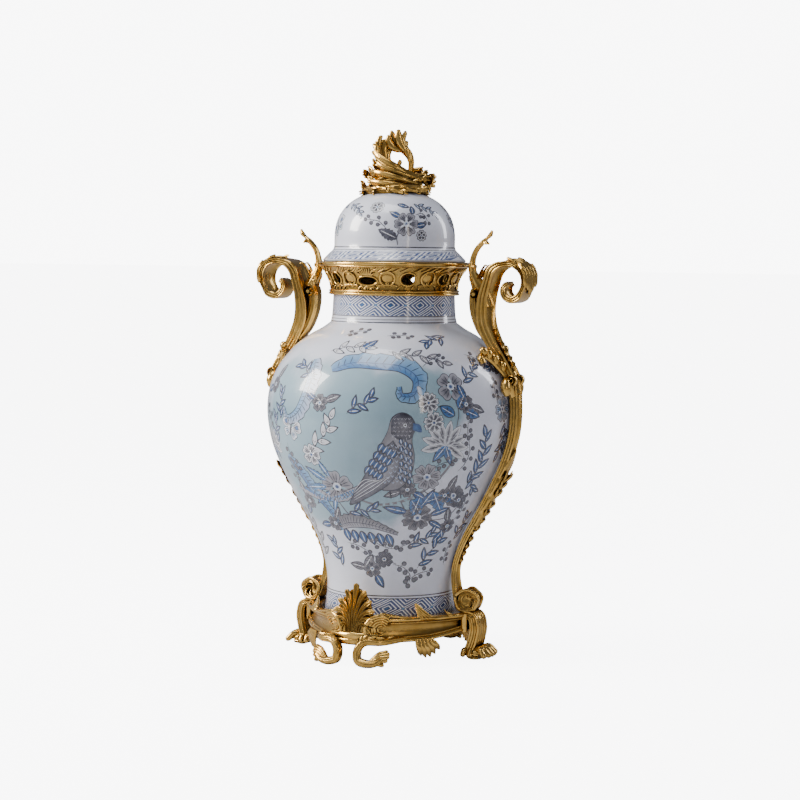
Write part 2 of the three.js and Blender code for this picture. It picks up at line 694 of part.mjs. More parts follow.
function armStations() {
  const stations = [];
  const rollTurns = 1.02;
  const rollSteps = 7;
  for (let i = 0; i < rollSteps; i++) {
    const turns = rollTurns * (1 - i / rollSteps);
    const angle = Math.PI + TAU * turns;
    const radius = (lowerRollRadius - 2.2) * (1 - 0.42 * turns);
    const [x, z] = [rollX + radius * Math.cos(angle), rollZ + radius * Math.sin(angle)];
    stations.push(station(x, 0, z, lowerRollWidth - 2 * rollSplay * (x - rollX), 5));
  }
  const off = strapClearance + handleThickness / 2;
  const strapSteps = 6;
  const lowestZ = rollZ + 2.2 * lowerRollRadius;
  const highestZ = lerp(bellyZ, neckZ, 0.12);
  for (let i = 0; i <= strapSteps; i++) {
    const share = i / strapSteps;
    const thick = lerp(0.72, 1.1, share) * handleThickness;
    const p = besideJar(lerp(lowestZ, highestZ, share), strapClearance + thick / 2);
    stations.push(station(p.x, 0, p.z, lerp(0.75, 1, share) * handleWidth, thick));
  }
  const capital = besideJar(lerp(bellyZ, neckZ, 0.34), off + 3);
  stations.push(station(capital.x, 0, capital.z, 1.3 * handleWidth, 1.2 * handleThickness));
  const neck = (out, up, width, thick) =>
    station(neckBaseRadius + out, 0, neckZ + up, width, thick * handleThickness);
  stations.push(
    neck(0.85 * scrollReach, -0.88 * scrollLift, 1.25 * handleWidth, 1.2),
    neck(0.67 * scrollReach, -0.42 * scrollLift, 1.45 * handleWidth, 1.4),
    neck(0.55 * scrollReach, 0.04 * scrollLift, 1.65 * handleWidth, 1.6),
    neck(0.54 * scrollReach, 0.54 * scrollLift, 1.9 * handleWidth, 1.4),
  );
  const scrollTurns = 1.1;
  const scrollSteps = 10;
  for (let i = 0; i <= scrollSteps; i++) {
    const turns = (scrollTurns * i) / scrollSteps;
    const angle = Math.PI - TAU * turns;
    const radius = scrollRadius * (1 - turns / 1.48);
    const x = neckBaseRadius + scrollReach - 2 + radius * Math.cos(angle);
    const z = neckZ + scrollLift + radius * Math.sin(angle);
    const width = turns < 0.3 ? lerp(0.85, 1, turns / 0.3) : lerp(1, 0.55, (turns - 0.3) / 0.8);
    stations.push(station(x, 0, z, width * scrollWidth, lerp(1.2, 0.7, turns / scrollTurns) * handleThickness));
  }
  return stations;
}

function makeHandle(hand) {
  const across = V3(0, 1, 0);
  const arm = swept(armStations(), across, fluted);
  const neck = (out, up, width, thickness) =>
    station(neckBaseRadius + out, 0, neckZ + up, width, thickness);
  // The inner strap runs from a small volute by the collar down into the arm.
  const innerStrap = swept(smooth([
    neck(34, 44, 18, 8),
    neck(29, 37, 19, 13),
    neck(28.5, 25, 19, 15),
    neck(31, 10, 18, 15),
    neck(38, -7, 17, 14),
    neck(48, -21, 15, 10),
    neck(56, -31, 14, 8),
  ], 7), across, ribbed);
  // The sprig rises from the arm past the collar's rim, and a lug ties it to the collar.
  const sprigTipZ = 38 + sprigHeight;
  const sprig = swept(smooth([
    neck(42, 34, 14, 9),
    neck(31, 50, 12, 9),
    neck(23, 66, 10, 8),
    neck(25, 80, 8, 7),
    neck(33, lerp(66, sprigTipZ, 0.7), 7, 6),
    neck(41, sprigTipZ - 8, 7, 5),
    neck(45, sprigTipZ, 6, 4.5),
  ], 8), across, stem);
  const lugZ = collarWallTopZ - neckZ - 3;
  const lug = swept([neck(6, lugZ, 8, 7), neck(32, lugZ - 8, 10, 10)], across, stem);
  const leaves = [1, -1].flatMap((side) => {
    const onJar = (share, angle, off, size) => {
      const p = besideJar(lerp(bellyZ, neckZ, share), off, side * angle);
      return { at: p, halfWidth: size / 2, halfThickness: size * 0.36 };
    };
    const shoulderLeaf = [
      onJar(0.3, 0.6, 8, 13),
      onJar(0.5, 6, 6.5, 14),
      onJar(0.64, 12, 5.5, 13),
      onJar(0.66, 18, 5.5, 10),
      onJar(0.58, 22, 5, 8),
    ];
    const bud = [
      onJar(0.22, 0.8, 8, 9),
      onJar(0.32, 3.5, 9, 11),
      onJar(0.33, 7, 9, 11),
      onJar(0.25, 8.5, 8, 8),
    ];
    const upright = V3(0, 0, -side);
    return [swept(smooth(shoulderLeaf, 6), upright, stem), swept(smooth(bud, 4), upright, stem)];
  });
  // A pair of small volutes stands out on both sides of the strap where it leaves the belly.
  const volute = new THREE.CylinderGeometry(voluteRadius, voluteRadius, voluteSpan, 8);
  const voluteAt = besideJar(lerp(bellyZ, neckZ, 0.31), strapClearance + handleThickness);
  volute.translate(voluteAt.x, 0, voluteAt.z);
  const whole = join([arm, innerStrap, sprig, lug, solidOf(volute), ...leaves]);
  const grownWall = Array.from({ length: 5 }, (_, i) => {
    const z = lerp(collarWallBottomZ, collarWallTopZ, i / 4);
    return [(collarWallRadius(z) + fitGap) * facetGrowth, z];
  });
  const collarSpace = turned([
    [0, collarBottomZ - fitGap],
    [(bandRadius + fitGap) * facetGrowth, collarBottomZ - fitGap],
    ...grownWall,
    [(collarRimRadius + fitGap) * facetGrowth, collarWallTopZ + 0.5],
    [(collarRimRadius + fitGap) * facetGrowth, collarTopZ + fitGap],
    [0, collarTopZ + fitGap],
  ]);
  const handle = geometryOf(whole.subtract(jarClearance().add(collarSpace)));
  return hand > 0 ? handle : handle.rotateZ(Math.PI);
}

const porcelain = new THREE.MeshStandardMaterial({ color: 0xdfe3ea, roughness: 0.12, metalness: 0 });
const giltBronze = new THREE.MeshStandardMaterial({ color: 0xc8963e, roughness: 0.32, metalness: 1 });

const gingerJar = new THREE.Group();
const addPiece = (name, geometry, material) => {
  const mesh = new THREE.Mesh(geometry, material);
  mesh.name = name;
  gingerJar.add(mesh);
};
addPiece("jar_body", geometryOf(makeJar()), porcelain);
addPiece("lid", geometryOf(makeLid()), porcelain);
addPiece("collar", geometryOf(makeCollar()), giltBronze);
addPiece("finial", geometryOf(makeFinial()), giltBronze);
addPiece("handle_right", makeHandle(1), giltBronze);
addPiece("handle_left", makeHandle(-1), giltBronze);
addPiece("base", geometryOf(makeBase()), giltBronze);

export default gingerJar;
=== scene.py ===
import math

import bmesh
import bpy
import numpy as np
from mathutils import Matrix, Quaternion, Vector


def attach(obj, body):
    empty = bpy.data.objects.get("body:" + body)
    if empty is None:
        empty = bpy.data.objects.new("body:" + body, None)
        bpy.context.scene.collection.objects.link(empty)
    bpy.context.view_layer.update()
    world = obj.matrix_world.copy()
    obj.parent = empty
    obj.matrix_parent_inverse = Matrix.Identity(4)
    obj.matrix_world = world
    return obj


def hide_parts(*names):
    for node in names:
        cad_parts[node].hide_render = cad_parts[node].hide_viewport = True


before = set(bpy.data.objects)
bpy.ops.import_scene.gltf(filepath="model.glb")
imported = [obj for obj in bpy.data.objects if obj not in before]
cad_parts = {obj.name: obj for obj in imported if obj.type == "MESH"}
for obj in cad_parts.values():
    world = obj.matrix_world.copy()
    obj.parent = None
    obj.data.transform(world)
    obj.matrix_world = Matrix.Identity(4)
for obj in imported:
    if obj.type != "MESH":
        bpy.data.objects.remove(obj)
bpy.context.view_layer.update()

# The studio. A pale matt table top runs out of sight in a white room, a large soft box stands on the left
# and a narrower one on the right, and the camera looks from the photograph's place. All sizes further down
# are in millimetres, and are turned to metres where a mesh is made.
MM = 0.001


def linear(code):
    """The linear colour of an sRGB hex value."""
    parts = [int(code[i:i + 2], 16) / 255 for i in (1, 3, 5)]
    return [p / 12.92 if p <= 0.04045 else ((p + 0.055) / 1.055) ** 2.4 for p in parts] + [1.0]


def node(tree, kind, settings, inputs):
    """Adds a node with its settings, and with each input either set or linked."""
    new = tree.nodes.new(kind)
    for name, value in settings.items():
        setattr(new, name, value)
    for socket, value in inputs.items():
        if isinstance(value, bpy.types.NodeSocket):
            tree.links.new(value, new.inputs[socket])
        else:
            new.inputs[socket].default_value = value
    return new


def empty_material(name):
    """A material without nodes, and its node tree."""
    material = bpy.data.materials.new(name)
    material.use_nodes = True
    material.node_tree.nodes.clear()
    return material, material.node_tree


camera_turn = math.radians(24)
camera_distance = 2.515
camera_height = 0.466
camera_place = Vector((
    math.sin(camera_turn) * camera_distance,
    -math.cos(camera_turn) * camera_distance,
    camera_height,
))
camera_right = Vector((math.cos(camera_turn), math.sin(camera_turn), 0))
camera_ahead = Vector((-math.sin(camera_turn), math.cos(camera_turn), 0))
camera_pitch = math.radians(3.87)
aim = camera_ahead * math.cos(camera_pitch) + camera_right * 0.00325 - Vector((0, 0, math.sin(camera_pitch)))
camera = bpy.data.objects.new("camera", bpy.data.cameras.new("camera"))
camera.location = camera_place
camera.rotation_mode = "QUATERNION"
camera_roll = Quaternion((0, 0, 1), math.radians(0.65))
camera.rotation_quaternion = aim.normalized().to_track_quat("-Z", "Y") @ camera_roll
camera.data.sensor_width = 36
camera.data.lens = 97.1
bpy.context.scene.collection.objects.link(camera)
bpy.context.scene.camera = camera


jar_middle = Vector((0, 0, 0.3))


def soft_box(name, place, size, power, colour):
    """A rectangular lamp with a plain face, turned towards the middle of the jar."""
    lamp = bpy.data.lights.new(name, "AREA")
    lamp.shape = "RECTANGLE"
    lamp.size, lamp.size_y = size
    lamp.energy = power
    lamp.color = linear(colour)[:3]
    lamp_object = bpy.data.objects.new(name, lamp)
    lamp_object.location = place
    lamp_object.rotation_euler = (jar_middle - Vector(place)).to_track_quat("-Z", "Y").to_euler()
    bpy.context.scene.collection.objects.link(lamp_object)


soft_box("left_soft_box", (-1.6, -0.85, 1.25), (0.75, 0.95), 66, "#fffaf2")
soft_box("top_card", (-0.1, -0.5, 2.3), (0.9, 0.9), 17, "#ffffff")
soft_box("right_strip", (1.5, -1.3, 0.9), (0.12, 1.2), 3.2, "#fff0dc")
soft_box("back_strip", (1.2, 1.2, 1.1), (0.3, 1.2), 11, "#f6f8ff")

# The room is brighter on the left than on the right, and its back wall shows as a plain pale ground.
room = bpy.data.worlds.new("room")
room.use_nodes = True
room.node_tree.nodes.clear()
tree = room.node_tree
heading = node(tree, "ShaderNodeTexCoord", {}, {})
sideways = node(tree, "ShaderNodeVectorMath", {"operation": "DOT_PRODUCT"},
                {0: heading.outputs["Generated"], 1: (camera_right.x, camera_right.y, 0)})
share = node(tree, "ShaderNodeMapRange", {},
             {"Value": sideways.outputs["Value"], "From Min": -1.0, "From Max": 1.0})
walls = node(tree, "ShaderNodeValToRGB", {}, {"Fac": share.outputs["Result"]})
walls.color_ramp.elements[0].color = (0.95, 0.95, 0.97, 1.0)
walls.color_ramp.elements[1].color = (0.34, 0.34, 0.38, 1.0)
for position, level in ((0.3, 0.5), (0.5, 0.2), (0.85, 0.12)):
    walls.color_ramp.elements.new(position).color = (level * 0.94, level * 0.97, level * 1.1, 1.0)
soft_light = node(tree, "ShaderNodeBackground", {}, {"Color": walls.outputs["Color"], "Strength": 0.95})
pale_ground = node(tree, "ShaderNodeBackground", {}, {"Color": linear("#fbfbfc"), "Strength": 9.0})
rays = node(tree, "ShaderNodeLightPath", {}, {})
seen = node(tree, "ShaderNodeMixShader", {}, {
    0: rays.outputs["Is Camera Ray"], 1: soft_light.outputs["Background"],
    2: pale_ground.outputs["Background"]})
node(tree, "ShaderNodeOutputWorld", {}, {"Surface": seen.outputs["Shader"]})
bpy.context.scene.world = room

matt_card, tree = empty_material("matt_white_card")
# A matt white card. It glows for the camera only, so that it stays pale out to where it ends and the dark
# room around it still shows in the gilding.
dull = node(tree, "ShaderNodeBsdfDiffuse", {}, {"Color": linear("#c4c4c8")})
glow = node(tree, "ShaderNodeEmission", {}, {"Color": linear("#fbfbfc"), "Strength": 8.0})
lit = node(tree, "ShaderNodeAddShader", {}, {0: dull.outputs["BSDF"], 1: glow.outputs["Emission"]})
rays = node(tree, "ShaderNodeLightPath", {}, {})
surface = node(tree, "ShaderNodeMixShader", {}, {
    0: rays.outputs["Is Camera Ray"], 1: dull.outputs["BSDF"], 2: lit.outputs["Shader"]})
node(tree, "ShaderNodeOutputMaterial", {}, {"Surface": surface.outputs["Shader"]})
FAR = 60
floor_mesh = bpy.data.meshes.new("table_top")
floor_mesh.from_pydata([(-FAR, -FAR, 0), (FAR, -FAR, 0), (FAR, FAR, 0), (-FAR, FAR, 0)], [], [(0, 1, 2, 3)])
floor_mesh.materials.append(matt_card)
floor = bpy.data.objects.new("table_top", floor_mesh)
bpy.context.scene.collection.objects.link(floor)

# The jar. It is hard-paste porcelain, thrown and turned, with a clear glaze over the whole of it but the
# foot ring that it was fired on. It is empty, and it narrows to a waist above the foot.
SEAT = 44
WAIST_RADIUS, WAIST_HEIGHT = 75, 90
BELLY_RADIUS, BELLY_HEIGHT = 146.5, 290
NECK_RADIUS, NECK_HEIGHT = 73.5, 387
NECK_RIM_RADIUS, NECK_RIM_HEIGHT = 70.5, 421
FOOT_RADIUS = 78
JAR_WALL = 6


def smooth_curve(points, count):
    """Points on a centripetal Catmull-Rom curve through the given ones."""
    given = np.array(points, float)
    whole = np.vstack([2 * given[0] - given[1], given, 2 * given[-1] - given[-2]])
    found = []
    for place in np.linspace(0, len(given) - 1, count):
        k = min(int(place), len(given) - 2)
        share = place - k
        before, start, end, after = whole[k:k + 4]
        steps = ((before, start), (start, end), (end, after))
        gaps = [max(((b - a) ** 2).sum(), 1e-9) ** 0.25 for a, b in steps]
        leave = (start - before) / gaps[0] - (end - before) / (gaps[0] + gaps[1]) + (end - start) / gaps[1]
        reach = (end - start) / gaps[1] - (after - start) / (gaps[1] + gaps[2]) + (after - end) / gaps[2]
        leave = leave * gaps[1]
        reach = reach * gaps[1]
        found.append(
            start
            + leave * share
            + (3 * (end - start) - 2 * leave - reach) * share ** 2
            + (2 * (start - end) + leave + reach) * share ** 3
        )
    return np.array(found)


def mix(a, b, share):
    """The value a share of the way from a to b."""
    return a + (b - a) * share


def new_piece(name, points, faces, materials, stands_for):
    """A mesh in millimetres becomes a piece that rides with the jar and stands for a CAD node."""
    mesh = bpy.data.meshes.new(name)
    mesh.from_pydata((np.asarray(points) * MM).tolist(), [], faces)
    for material in materials:
        mesh.materials.append(material)
    mesh.shade_smooth()
    piece = bpy.data.objects.new(name, mesh)
    bpy.context.scene.collection.objects.link(piece)
    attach(piece, "root")
    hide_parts(stands_for)
    return piece


def turned(outline, steps):
    """Points and faces of a turned piece. The outline is a closed loop of radii and heights."""
    angles = np.arange(steps) * math.tau / steps
    outline = np.array(outline, float)
    points = np.stack([
        np.outer(outline[:, 0], np.cos(angles)),
        np.outer(outline[:, 0], np.sin(angles)),
        np.outer(outline[:, 1], np.ones(steps)),
    ], axis=-1).reshape(-1, 3)
    faces = []
    rows = len(outline)
    for i in range(rows):
        for j in range(steps):
            a, b = i * steps + j, i * steps + (j + 1) % steps
            c, d = (i + 1) % rows * steps + (j + 1) % steps, (i + 1) % rows * steps + j
            faces.append((a, b, c, d))
    return points, faces


rising = [(mix(WAIST_RADIUS, BELLY_RADIUS, r), mix(WAIST_HEIGHT, BELLY_HEIGHT, h))
          for h, r in ((0.22, 0.15), (0.5, 0.57), (0.78, 0.915))]
closing = [(mix(BELLY_RADIUS, NECK_RADIUS, r), mix(BELLY_HEIGHT, NECK_HEIGHT, h))
           for h, r in ((0.36, 0.1), (0.66, 0.37), (0.83, 0.64), (0.93, 0.87))]
jar_side = smooth_curve(
    [(FOOT_RADIUS, SEAT), (WAIST_RADIUS, WAIST_HEIGHT), *rising, (BELLY_RADIUS, BELLY_HEIGHT), *closing,
     (NECK_RADIUS, NECK_HEIGHT)], 130)
neck_side = smooth_curve(
    [(NECK_RADIUS, NECK_HEIGHT),
     (mix(NECK_RADIUS, NECK_RIM_RADIUS, 0.55), mix(NECK_HEIGHT, NECK_RIM_HEIGHT, 0.25)),
     (NECK_RIM_RADIUS, NECK_RIM_HEIGHT)], 20)
jar_outline = np.vstack([jar_side, neck_side[1:]])
inside = jar_outline[(jar_outline[:, 1] > SEAT + 14) & (jar_outline[:, 1] < NECK_RIM_HEIGHT - 1)][::-3]
inside = inside - [JAR_WALL, 0]
jar_loop = [
    (0.01, SEAT + 5), (FOOT_RADIUS - 13, SEAT + 5), (FOOT_RADIUS - 12, SEAT + 4),
    (FOOT_RADIUS - 11, SEAT + 0.5), (FOOT_RADIUS - 10, SEAT), (FOOT_RADIUS - 2, SEAT),
    (FOOT_RADIUS - 0.5, SEAT + 0.7), *jar_outline[1:-1], (NECK_RIM_RADIUS, NECK_RIM_HEIGHT - 1),
    (NECK_RIM_RADIUS - 1, NECK_RIM_HEIGHT), (NECK_RIM_RADIUS - JAR_WALL + 1, NECK_RIM_HEIGHT), *inside,
    (FOOT_RADIUS - 2 * JAR_WALL - 4, SEAT + 13), (0.01, SEAT + 13),
]
TURNED_STEPS = 200
jar_points, jar_faces = turned(jar_loop, TURNED_STEPS)

glazed_porcelain, tree = empty_material("glazed_porcelain")
# Fired porcelain under a clear glaze: a cool white body, mirror bright on top, with the faint waves that a
# glaze keeps from the kiln and a soft aqua wash where the painter laid one on.
grain = node(tree, "ShaderNodeTexCoord", {}, {})
cloud = node(tree, "ShaderNodeTexNoise", {},
             {"Vector": grain.outputs["Object"], "Scale": 22.0, "Detail": 4.0})
wash = node(tree, "ShaderNodeAttribute", {"attribute_name": "wash"}, {})
edge = node(tree, "ShaderNodeMath", {"operation": "MULTIPLY_ADD"},
            {0: cloud.outputs["Fac"], 1: 1.5, 2: wash.outputs["Fac"]})
laid = node(tree, "ShaderNodeMapRange", {"interpolation_type": "SMOOTHSTEP"},
            {"Value": edge.outputs["Value"], "From Min": 0.85, "From Max": 1.5})
tone = node(tree, "ShaderNodeMixRGB", {},
            {"Fac": cloud.outputs["Fac"], "Color1": linear("#dbe0ef"), "Color2": linear("#e6e9f5")})
tint = node(tree, "ShaderNodeMixRGB", {},
            {"Fac": cloud.outputs["Fac"], "Color1": linear("#7f9fb2"), "Color2": linear("#a3bfcb")})
body = node(tree, "ShaderNodeMixRGB", {},
            {"Fac": laid.outputs["Result"], "Color1": tone.outputs["Color"],
             "Color2": tint.outputs["Color"]})
ripple = node(tree, "ShaderNodeTexNoise", {},
              {"Vector": grain.outputs["Object"], "Scale": 30.0, "Detail": 2.0})
waves = node(tree, "ShaderNodeBump", {},
             {"Height": ripple.outputs["Fac"], "Strength": 0.06, "Distance": 0.002})
surface = node(tree, "ShaderNodeBsdfPrincipled", {}, {
    "Base Color": body.outputs["Color"], "Roughness": 0.32, "IOR": 1.5, "Coat Weight": 1.0,
    "Coat Roughness": 0.04, "Coat IOR": 1.5, "Normal": waves.outputs["Normal"],
    "Coat Normal": waves.outputs["Normal"],
})
node(tree, "ShaderNodeOutputMaterial", {}, {"Surface": surface.outputs["BSDF"]})

bare_porcelain, tree = empty_material("unglazed_foot_ring")
# The foot ring is wiped free of glaze before firing, so it is matt and a little creamier.
surface = node(tree, "ShaderNodeBsdfPrincipled", {}, {"Base Color": linear("#e4dfd2"), "Roughness": 0.75})
node(tree, "ShaderNodeOutputMaterial", {}, {"Surface": surface.outputs["BSDF"]})

jar = new_piece("jar", jar_points, jar_faces, [glazed_porcelain, bare_porcelain], "jar_body")
for face in jar.data.polygons:
    middle = face.center / MM
    if middle.z < SEAT + 0.3:
        face.material_index = 1

# The aqua wash lies behind the birds on both sides of the jar. Each patch is an angle and a height of its
# middle and its half width and half height, in degrees and millimetres.
PICTURE_ANGLES = (-66, 114)
wash_patches = [(-24, 270, 46, 86), (6, 290, 30, 66), (-50, 252, 38, 104), (-12, 202, 32, 54),
                (20, 254, 14, 40)]
angles = np.degrees(np.arctan2(jar_points[:, 1], jar_points[:, 0]))
strength = np.zeros(len(jar_points))
for face_angle in PICTURE_ANGLES:
    for angle, height, across, up in wash_patches:
        apart = (angles - face_angle - angle + 180) % 360 - 180
        far = (apart / across) ** 2 + ((jar_points[:, 2] - height) / up) ** 2
        strength = np.maximum(strength, np.clip(1.25 - far, 0, 1))
attribute = jar.data.attributes.new("wash", "FLOAT", "POINT")
attribute.data.foreach_set("value", strength.astype(np.float32))


# The painting. It is done by brush in enamels and cobalt blue and lies under the same gloss as the glaze:
# lozenge bands and ring lines at the neck and the foot, and birds, blossoms, leaves and berries between.
class Brush:
    """Paints flat shapes on a turned surface. A shape is an array of complex numbers in millimetres from a
    place on the surface: the real part runs round it and the imaginary part runs up it."""

    def __init__(self, side):
        self.side = np.array(side, float)
        self.along = np.concatenate([[0], np.cumsum(np.hypot(*np.diff(self.side, axis=0).T))])
        slope = np.gradient(self.side, axis=0)
        length = np.hypot(slope[:, 0], slope[:, 1])
        self.normal_out = slope[:, 1] / length
        self.normal_up = -slope[:, 0] / length
        self.points, self.normals, self.colours, self.faces = [], [], [], []
        self.count = 0
        self.shapes = 0
        self.level = 0

    def move(self, angle, height):
        """Takes the brush to an angle and a height, from where the next shapes are measured."""
        self.angle = math.radians(angle)
        self.start = np.interp(height, self.side[:, 1], self.along)

    def add(self, shape, colours, faces, layer):
        """Lays a shape on the surface. Each layer and each later shape lies a little higher than the last."""
        self.shapes += 1
        lift = 0.05 + 0.035 * (layer + self.level) + 0.00001 * self.shapes
        along = np.clip(self.start + shape.imag, 0, self.along[-1])
        out = np.interp(along, self.along, self.normal_out)
        up = np.interp(along, self.along, self.normal_up)
        radius = np.interp(along, self.along, self.side[:, 0])
        turn = self.angle + shape.real / np.maximum(radius, 12)
        radius = radius + lift * out
        height = np.interp(along, self.along, self.side[:, 1]) + lift * up
        self.points.append(np.stack([radius * np.cos(turn), radius * np.sin(turn), height], 1))
        self.normals.append(np.stack([out * np.cos(turn), out * np.sin(turn), up], 1))
        self.colours.append(colours)
        self.faces.extend(tuple(self.count + k for k in face) for face in faces)
        self.count += len(shape)

    def fill(self, outline, middle, inner, outer, layer):
        """Fills an outline seen whole from its middle, shaded from the inner to the outer colour."""
        inner, outer = np.array(linear(inner)), np.array(linear(outer))
        if np.sum(outline.real * np.roll(outline.imag, -1) - np.roll(outline.real, -1) * outline.imag) < 0:
            outline = outline[::-1]
        rings = 1 + int(np.abs(outline - middle).max() / 6)
        shares = np.arange(1, rings + 1) / rings
        shape = np.concatenate([[middle], *[middle + (outline - middle) * share for share in shares]])
        colours = np.vstack([inner[None],
                             *[np.tile(mix(inner, outer, share), (len(outline), 1)) for share in shares]])
        n = len(outline)
        after = [(j + 1) % n for j in range(n)]
        faces = [(0, 1 + j, 1 + after[j]) for j in range(n)]
        for i in range(rings - 1):
            a, b = 1 + i * n, 1 + (i + 1) * n
            faces.extend((a + j, b + j, b + after[j], a + after[j]) for j in range(n))
        self.add(shape, colours, faces, layer)

    def line(self, path, width, colour, layer, taper=0.75):
        """Draws a line along a path. It thins towards both ends by the share taper."""
        path = np.asarray(path, complex)
        along = np.gradient(path)
        sideways = 1j * along / np.maximum(np.abs(along), 1e-6)
        share = np.linspace(0, 1, len(path))
        half = 0.5 * width * (1 - taper * np.abs(2 * share - 1) ** 3)
        shape = np.concatenate([path + sideways * half, path - sideways * half])
        n = len(path)
        faces = [(j, j + n, j + n + 1, j + 1) for j in range(n - 1)]
        self.add(shape, np.tile(np.array(linear(colour)), (2 * n, 1)), faces, layer)

    def strip(self, path, left, right, colours, layer):
        """Fills the band between two widths on the left and right of a path, with a colour on each side."""
        path = np.asarray(path, complex)
        along = np.gradient(path)
        sideways = 1j * along / np.maximum(np.abs(along), 1e-6)
        shares = np.linspace(0, 1, 4)
        rows = [path + sideways * mix(left, -np.asarray(right), share) for share in shares]
        first, last = np.array(linear(colours[0])), np.array(linear(colours[1]))
        n = len(path)
        faces = []
        for i in range(3):
            faces.extend((i * n + j, (i + 1) * n + j, (i + 1) * n + j + 1, i * n + j + 1)
                         for j in range(n - 1))
        self.add(np.concatenate(rows),
                 np.vstack([np.tile(mix(first, last, share), (n, 1)) for share in shares]), faces, layer)

    def piece(self, name, material, stands_for):
        """Makes the mesh. It takes the surface's own normals, so that no edge of the paint catches light."""
        made = new_piece(name, np.vstack(self.points), self.faces, [material], stands_for)
        layer = made.data.color_attributes.new("paint", "FLOAT_COLOR", "POINT")
        layer.data.foreach_set("color", np.vstack(self.colours).astype(np.float32).ravel())
        made.data.normals_split_custom_set_from_vertices(np.vstack(self.normals).tolist())


INK, SLATE, GREY, PALE_GREY = "#2c2d3e", "#4c4c59", "#74727a", "#a5a5b0"
DEEP_BLUE, BLUE, SKY_BLUE, PALE_BLUE, WHITE = "#24467e", "#3f73ae", "#79a6cf", "#b4c0da", "#edf0f8"


def curve(points, count):
    """A smooth path through a few complex points."""
    pairs = smooth_curve([(p.real, p.imag) for p in np.asarray(points, complex)], count)
    return pairs[:, 0] + 1j * pairs[:, 1]


def disc(middle, radius, sides=12):
    """The outline of a small round dot."""
    return middle + radius * np.exp(1j * np.linspace(0, math.tau, sides, endpoint=False))


def spin(degrees):
    """The complex number that turns a shape by an angle."""
    return np.exp(1j * math.radians(degrees))


def leaf(brush, root, turn, length, width, inner, outer, teeth=0, veins=3):
    """A leaf with an ink outline, a white midrib and ink veins. Its edge can be toothed."""
    ramp = np.linspace(0, 1, 7 + 3 * max(teeth, 3))
    half = width / 2 * np.sin(math.pi * ramp ** 0.8) ** 0.85
    if teeth:
        half = half * (1 - 0.3 * (ramp * teeth % 1))
    shape = np.concatenate([ramp * length + 1j * half, (ramp * length - 1j * half)[::-1][1:-1]]) * spin(turn)
    middle = root + 0.42 * length * spin(turn)
    grown = root + 0.42 * length * spin(turn) + (root + shape - middle) * (1 + 2.0 / width)
    brush.fill(grown, middle, INK, INK, 0)
    brush.fill(root + shape, middle, inner, outer, 1)
    brush.line(root + np.linspace(0.02, 0.9, 6) * length * spin(turn), 0.9, WHITE, 2)
    for k in range(veins):
        start = (0.2 + 0.55 * k / max(1, veins)) * length
        for hand in (1, -1):
            tip = start + 0.16 * length + 0.36j * hand * width * math.sin(math.pi * (0.3 + 0.2 * k))
            brush.line(root + np.linspace(start, tip, 4) * spin(turn), 0.9, INK, 2)


def petal(brush, root, turn, length, spread, inner, outer, pointed=0.0, veins=(-0.4, 0, 0.4)):
    """A petal with an ink outline, between a round one with a notched tip and a pointed one."""
    ramp = np.linspace(-1, 1, 15)
    round_reach = (1 - np.abs(ramp) ** 3.2) ** 0.45 * (1 - 0.1 * np.exp(-(ramp / 0.25) ** 2))
    pointed_reach = (1 - np.abs(ramp)) ** 0.75
    reach = mix(round_reach, pointed_reach, pointed)
    shape = length * reach * np.exp(1j * ramp * math.radians(spread)) * spin(turn)
    middle = root + 0.5 * length * spin(turn)
    brush.fill(middle + (root + shape - middle) * (1 + 1.9 / length), middle, INK, INK, 0)
    brush.fill(root + shape, middle, inner, outer, 1)
    for vein in veins:
        ray = spin(turn + vein * spread * (1 - 0.4 * pointed))
        brush.line(root + np.linspace(0.3, 0.85, 4) * length * ray, 0.9, INK, 2)


def blossom(brush, at, size, petals=5, turn=0, inner=GREY, outer=PALE_GREY, heart=BLUE):
    """An open flower seen from the front: a ring of petals round a heart with six dots."""
    for k in range(petals):
        petal(brush, at, turn + 360 * k / petals, size, 200 / petals, inner, outer)
    brush.fill(disc(at, 0.26 * size), at, heart, WHITE, 3)
    for k in range(6):
        brush.fill(disc(at + 0.3 * size * spin(turn + 60 * k), 0.06 * size + 0.2, 6),
                   at + 0.3 * size * spin(turn + 60 * k), INK, INK, 4)
    brush.fill(disc(at, 0.11 * size, 8), at, DEEP_BLUE, DEEP_BLUE, 4)


def peony(brush, at, size, turn=90, inner=SLATE, outer=WHITE):
    """An open flower seen from the side: three rows of pointed petals over two leaves."""
    for ring, (count, reach, spread) in enumerate(((9, 1.0, 24), (7, 0.72, 28), (5, 0.45, 36))):
        for k in range(count):
            away = turn + (k - (count - 1) / 2) * (250 / count)
            petal(brush, at, away, size * reach, spread, inner, outer, pointed=0.75, veins=(0,))
    for hand in (-1, 1):
        leaf(brush, at, turn + 180 + 28 * hand, 0.75 * size, 0.3 * size, DEEP_BLUE, BLUE, veins=1)


def berries(brush, path, count, size=2.3, colour=SLATE):
    """A thin stem with round berries on short stalks to both sides."""
    path = curve(path, 14)
    brush.line(path, 0.9, INK, 1)
    for k in range(count):
        share = (k + 1) / count
        at = path[int(round(share * 13))]
        away = (path[min(13, int(share * 13) + 1)] - path[int(share * 13) - 1])
        away = away / max(abs(away), 1e-6)
        tip = at + away * (2.2 if k == count - 1 else 3 + 4.2j * (1 if k % 2 else -1))
        brush.line(np.linspace(at, tip, 3), 0.8, INK, 1)
        brush.fill(disc(tip, size + 0.6, 10), tip, INK, INK, 1)
        brush.fill(disc(tip, size - 0.1, 10), tip + 0.5, GREY, colour, 2)


def stem(brush, points, width=1.4, colour=SLATE):
    """A bare stem or branch through a few points."""
    brush.line(curve(points, 18), width, colour, 0, 0.4)


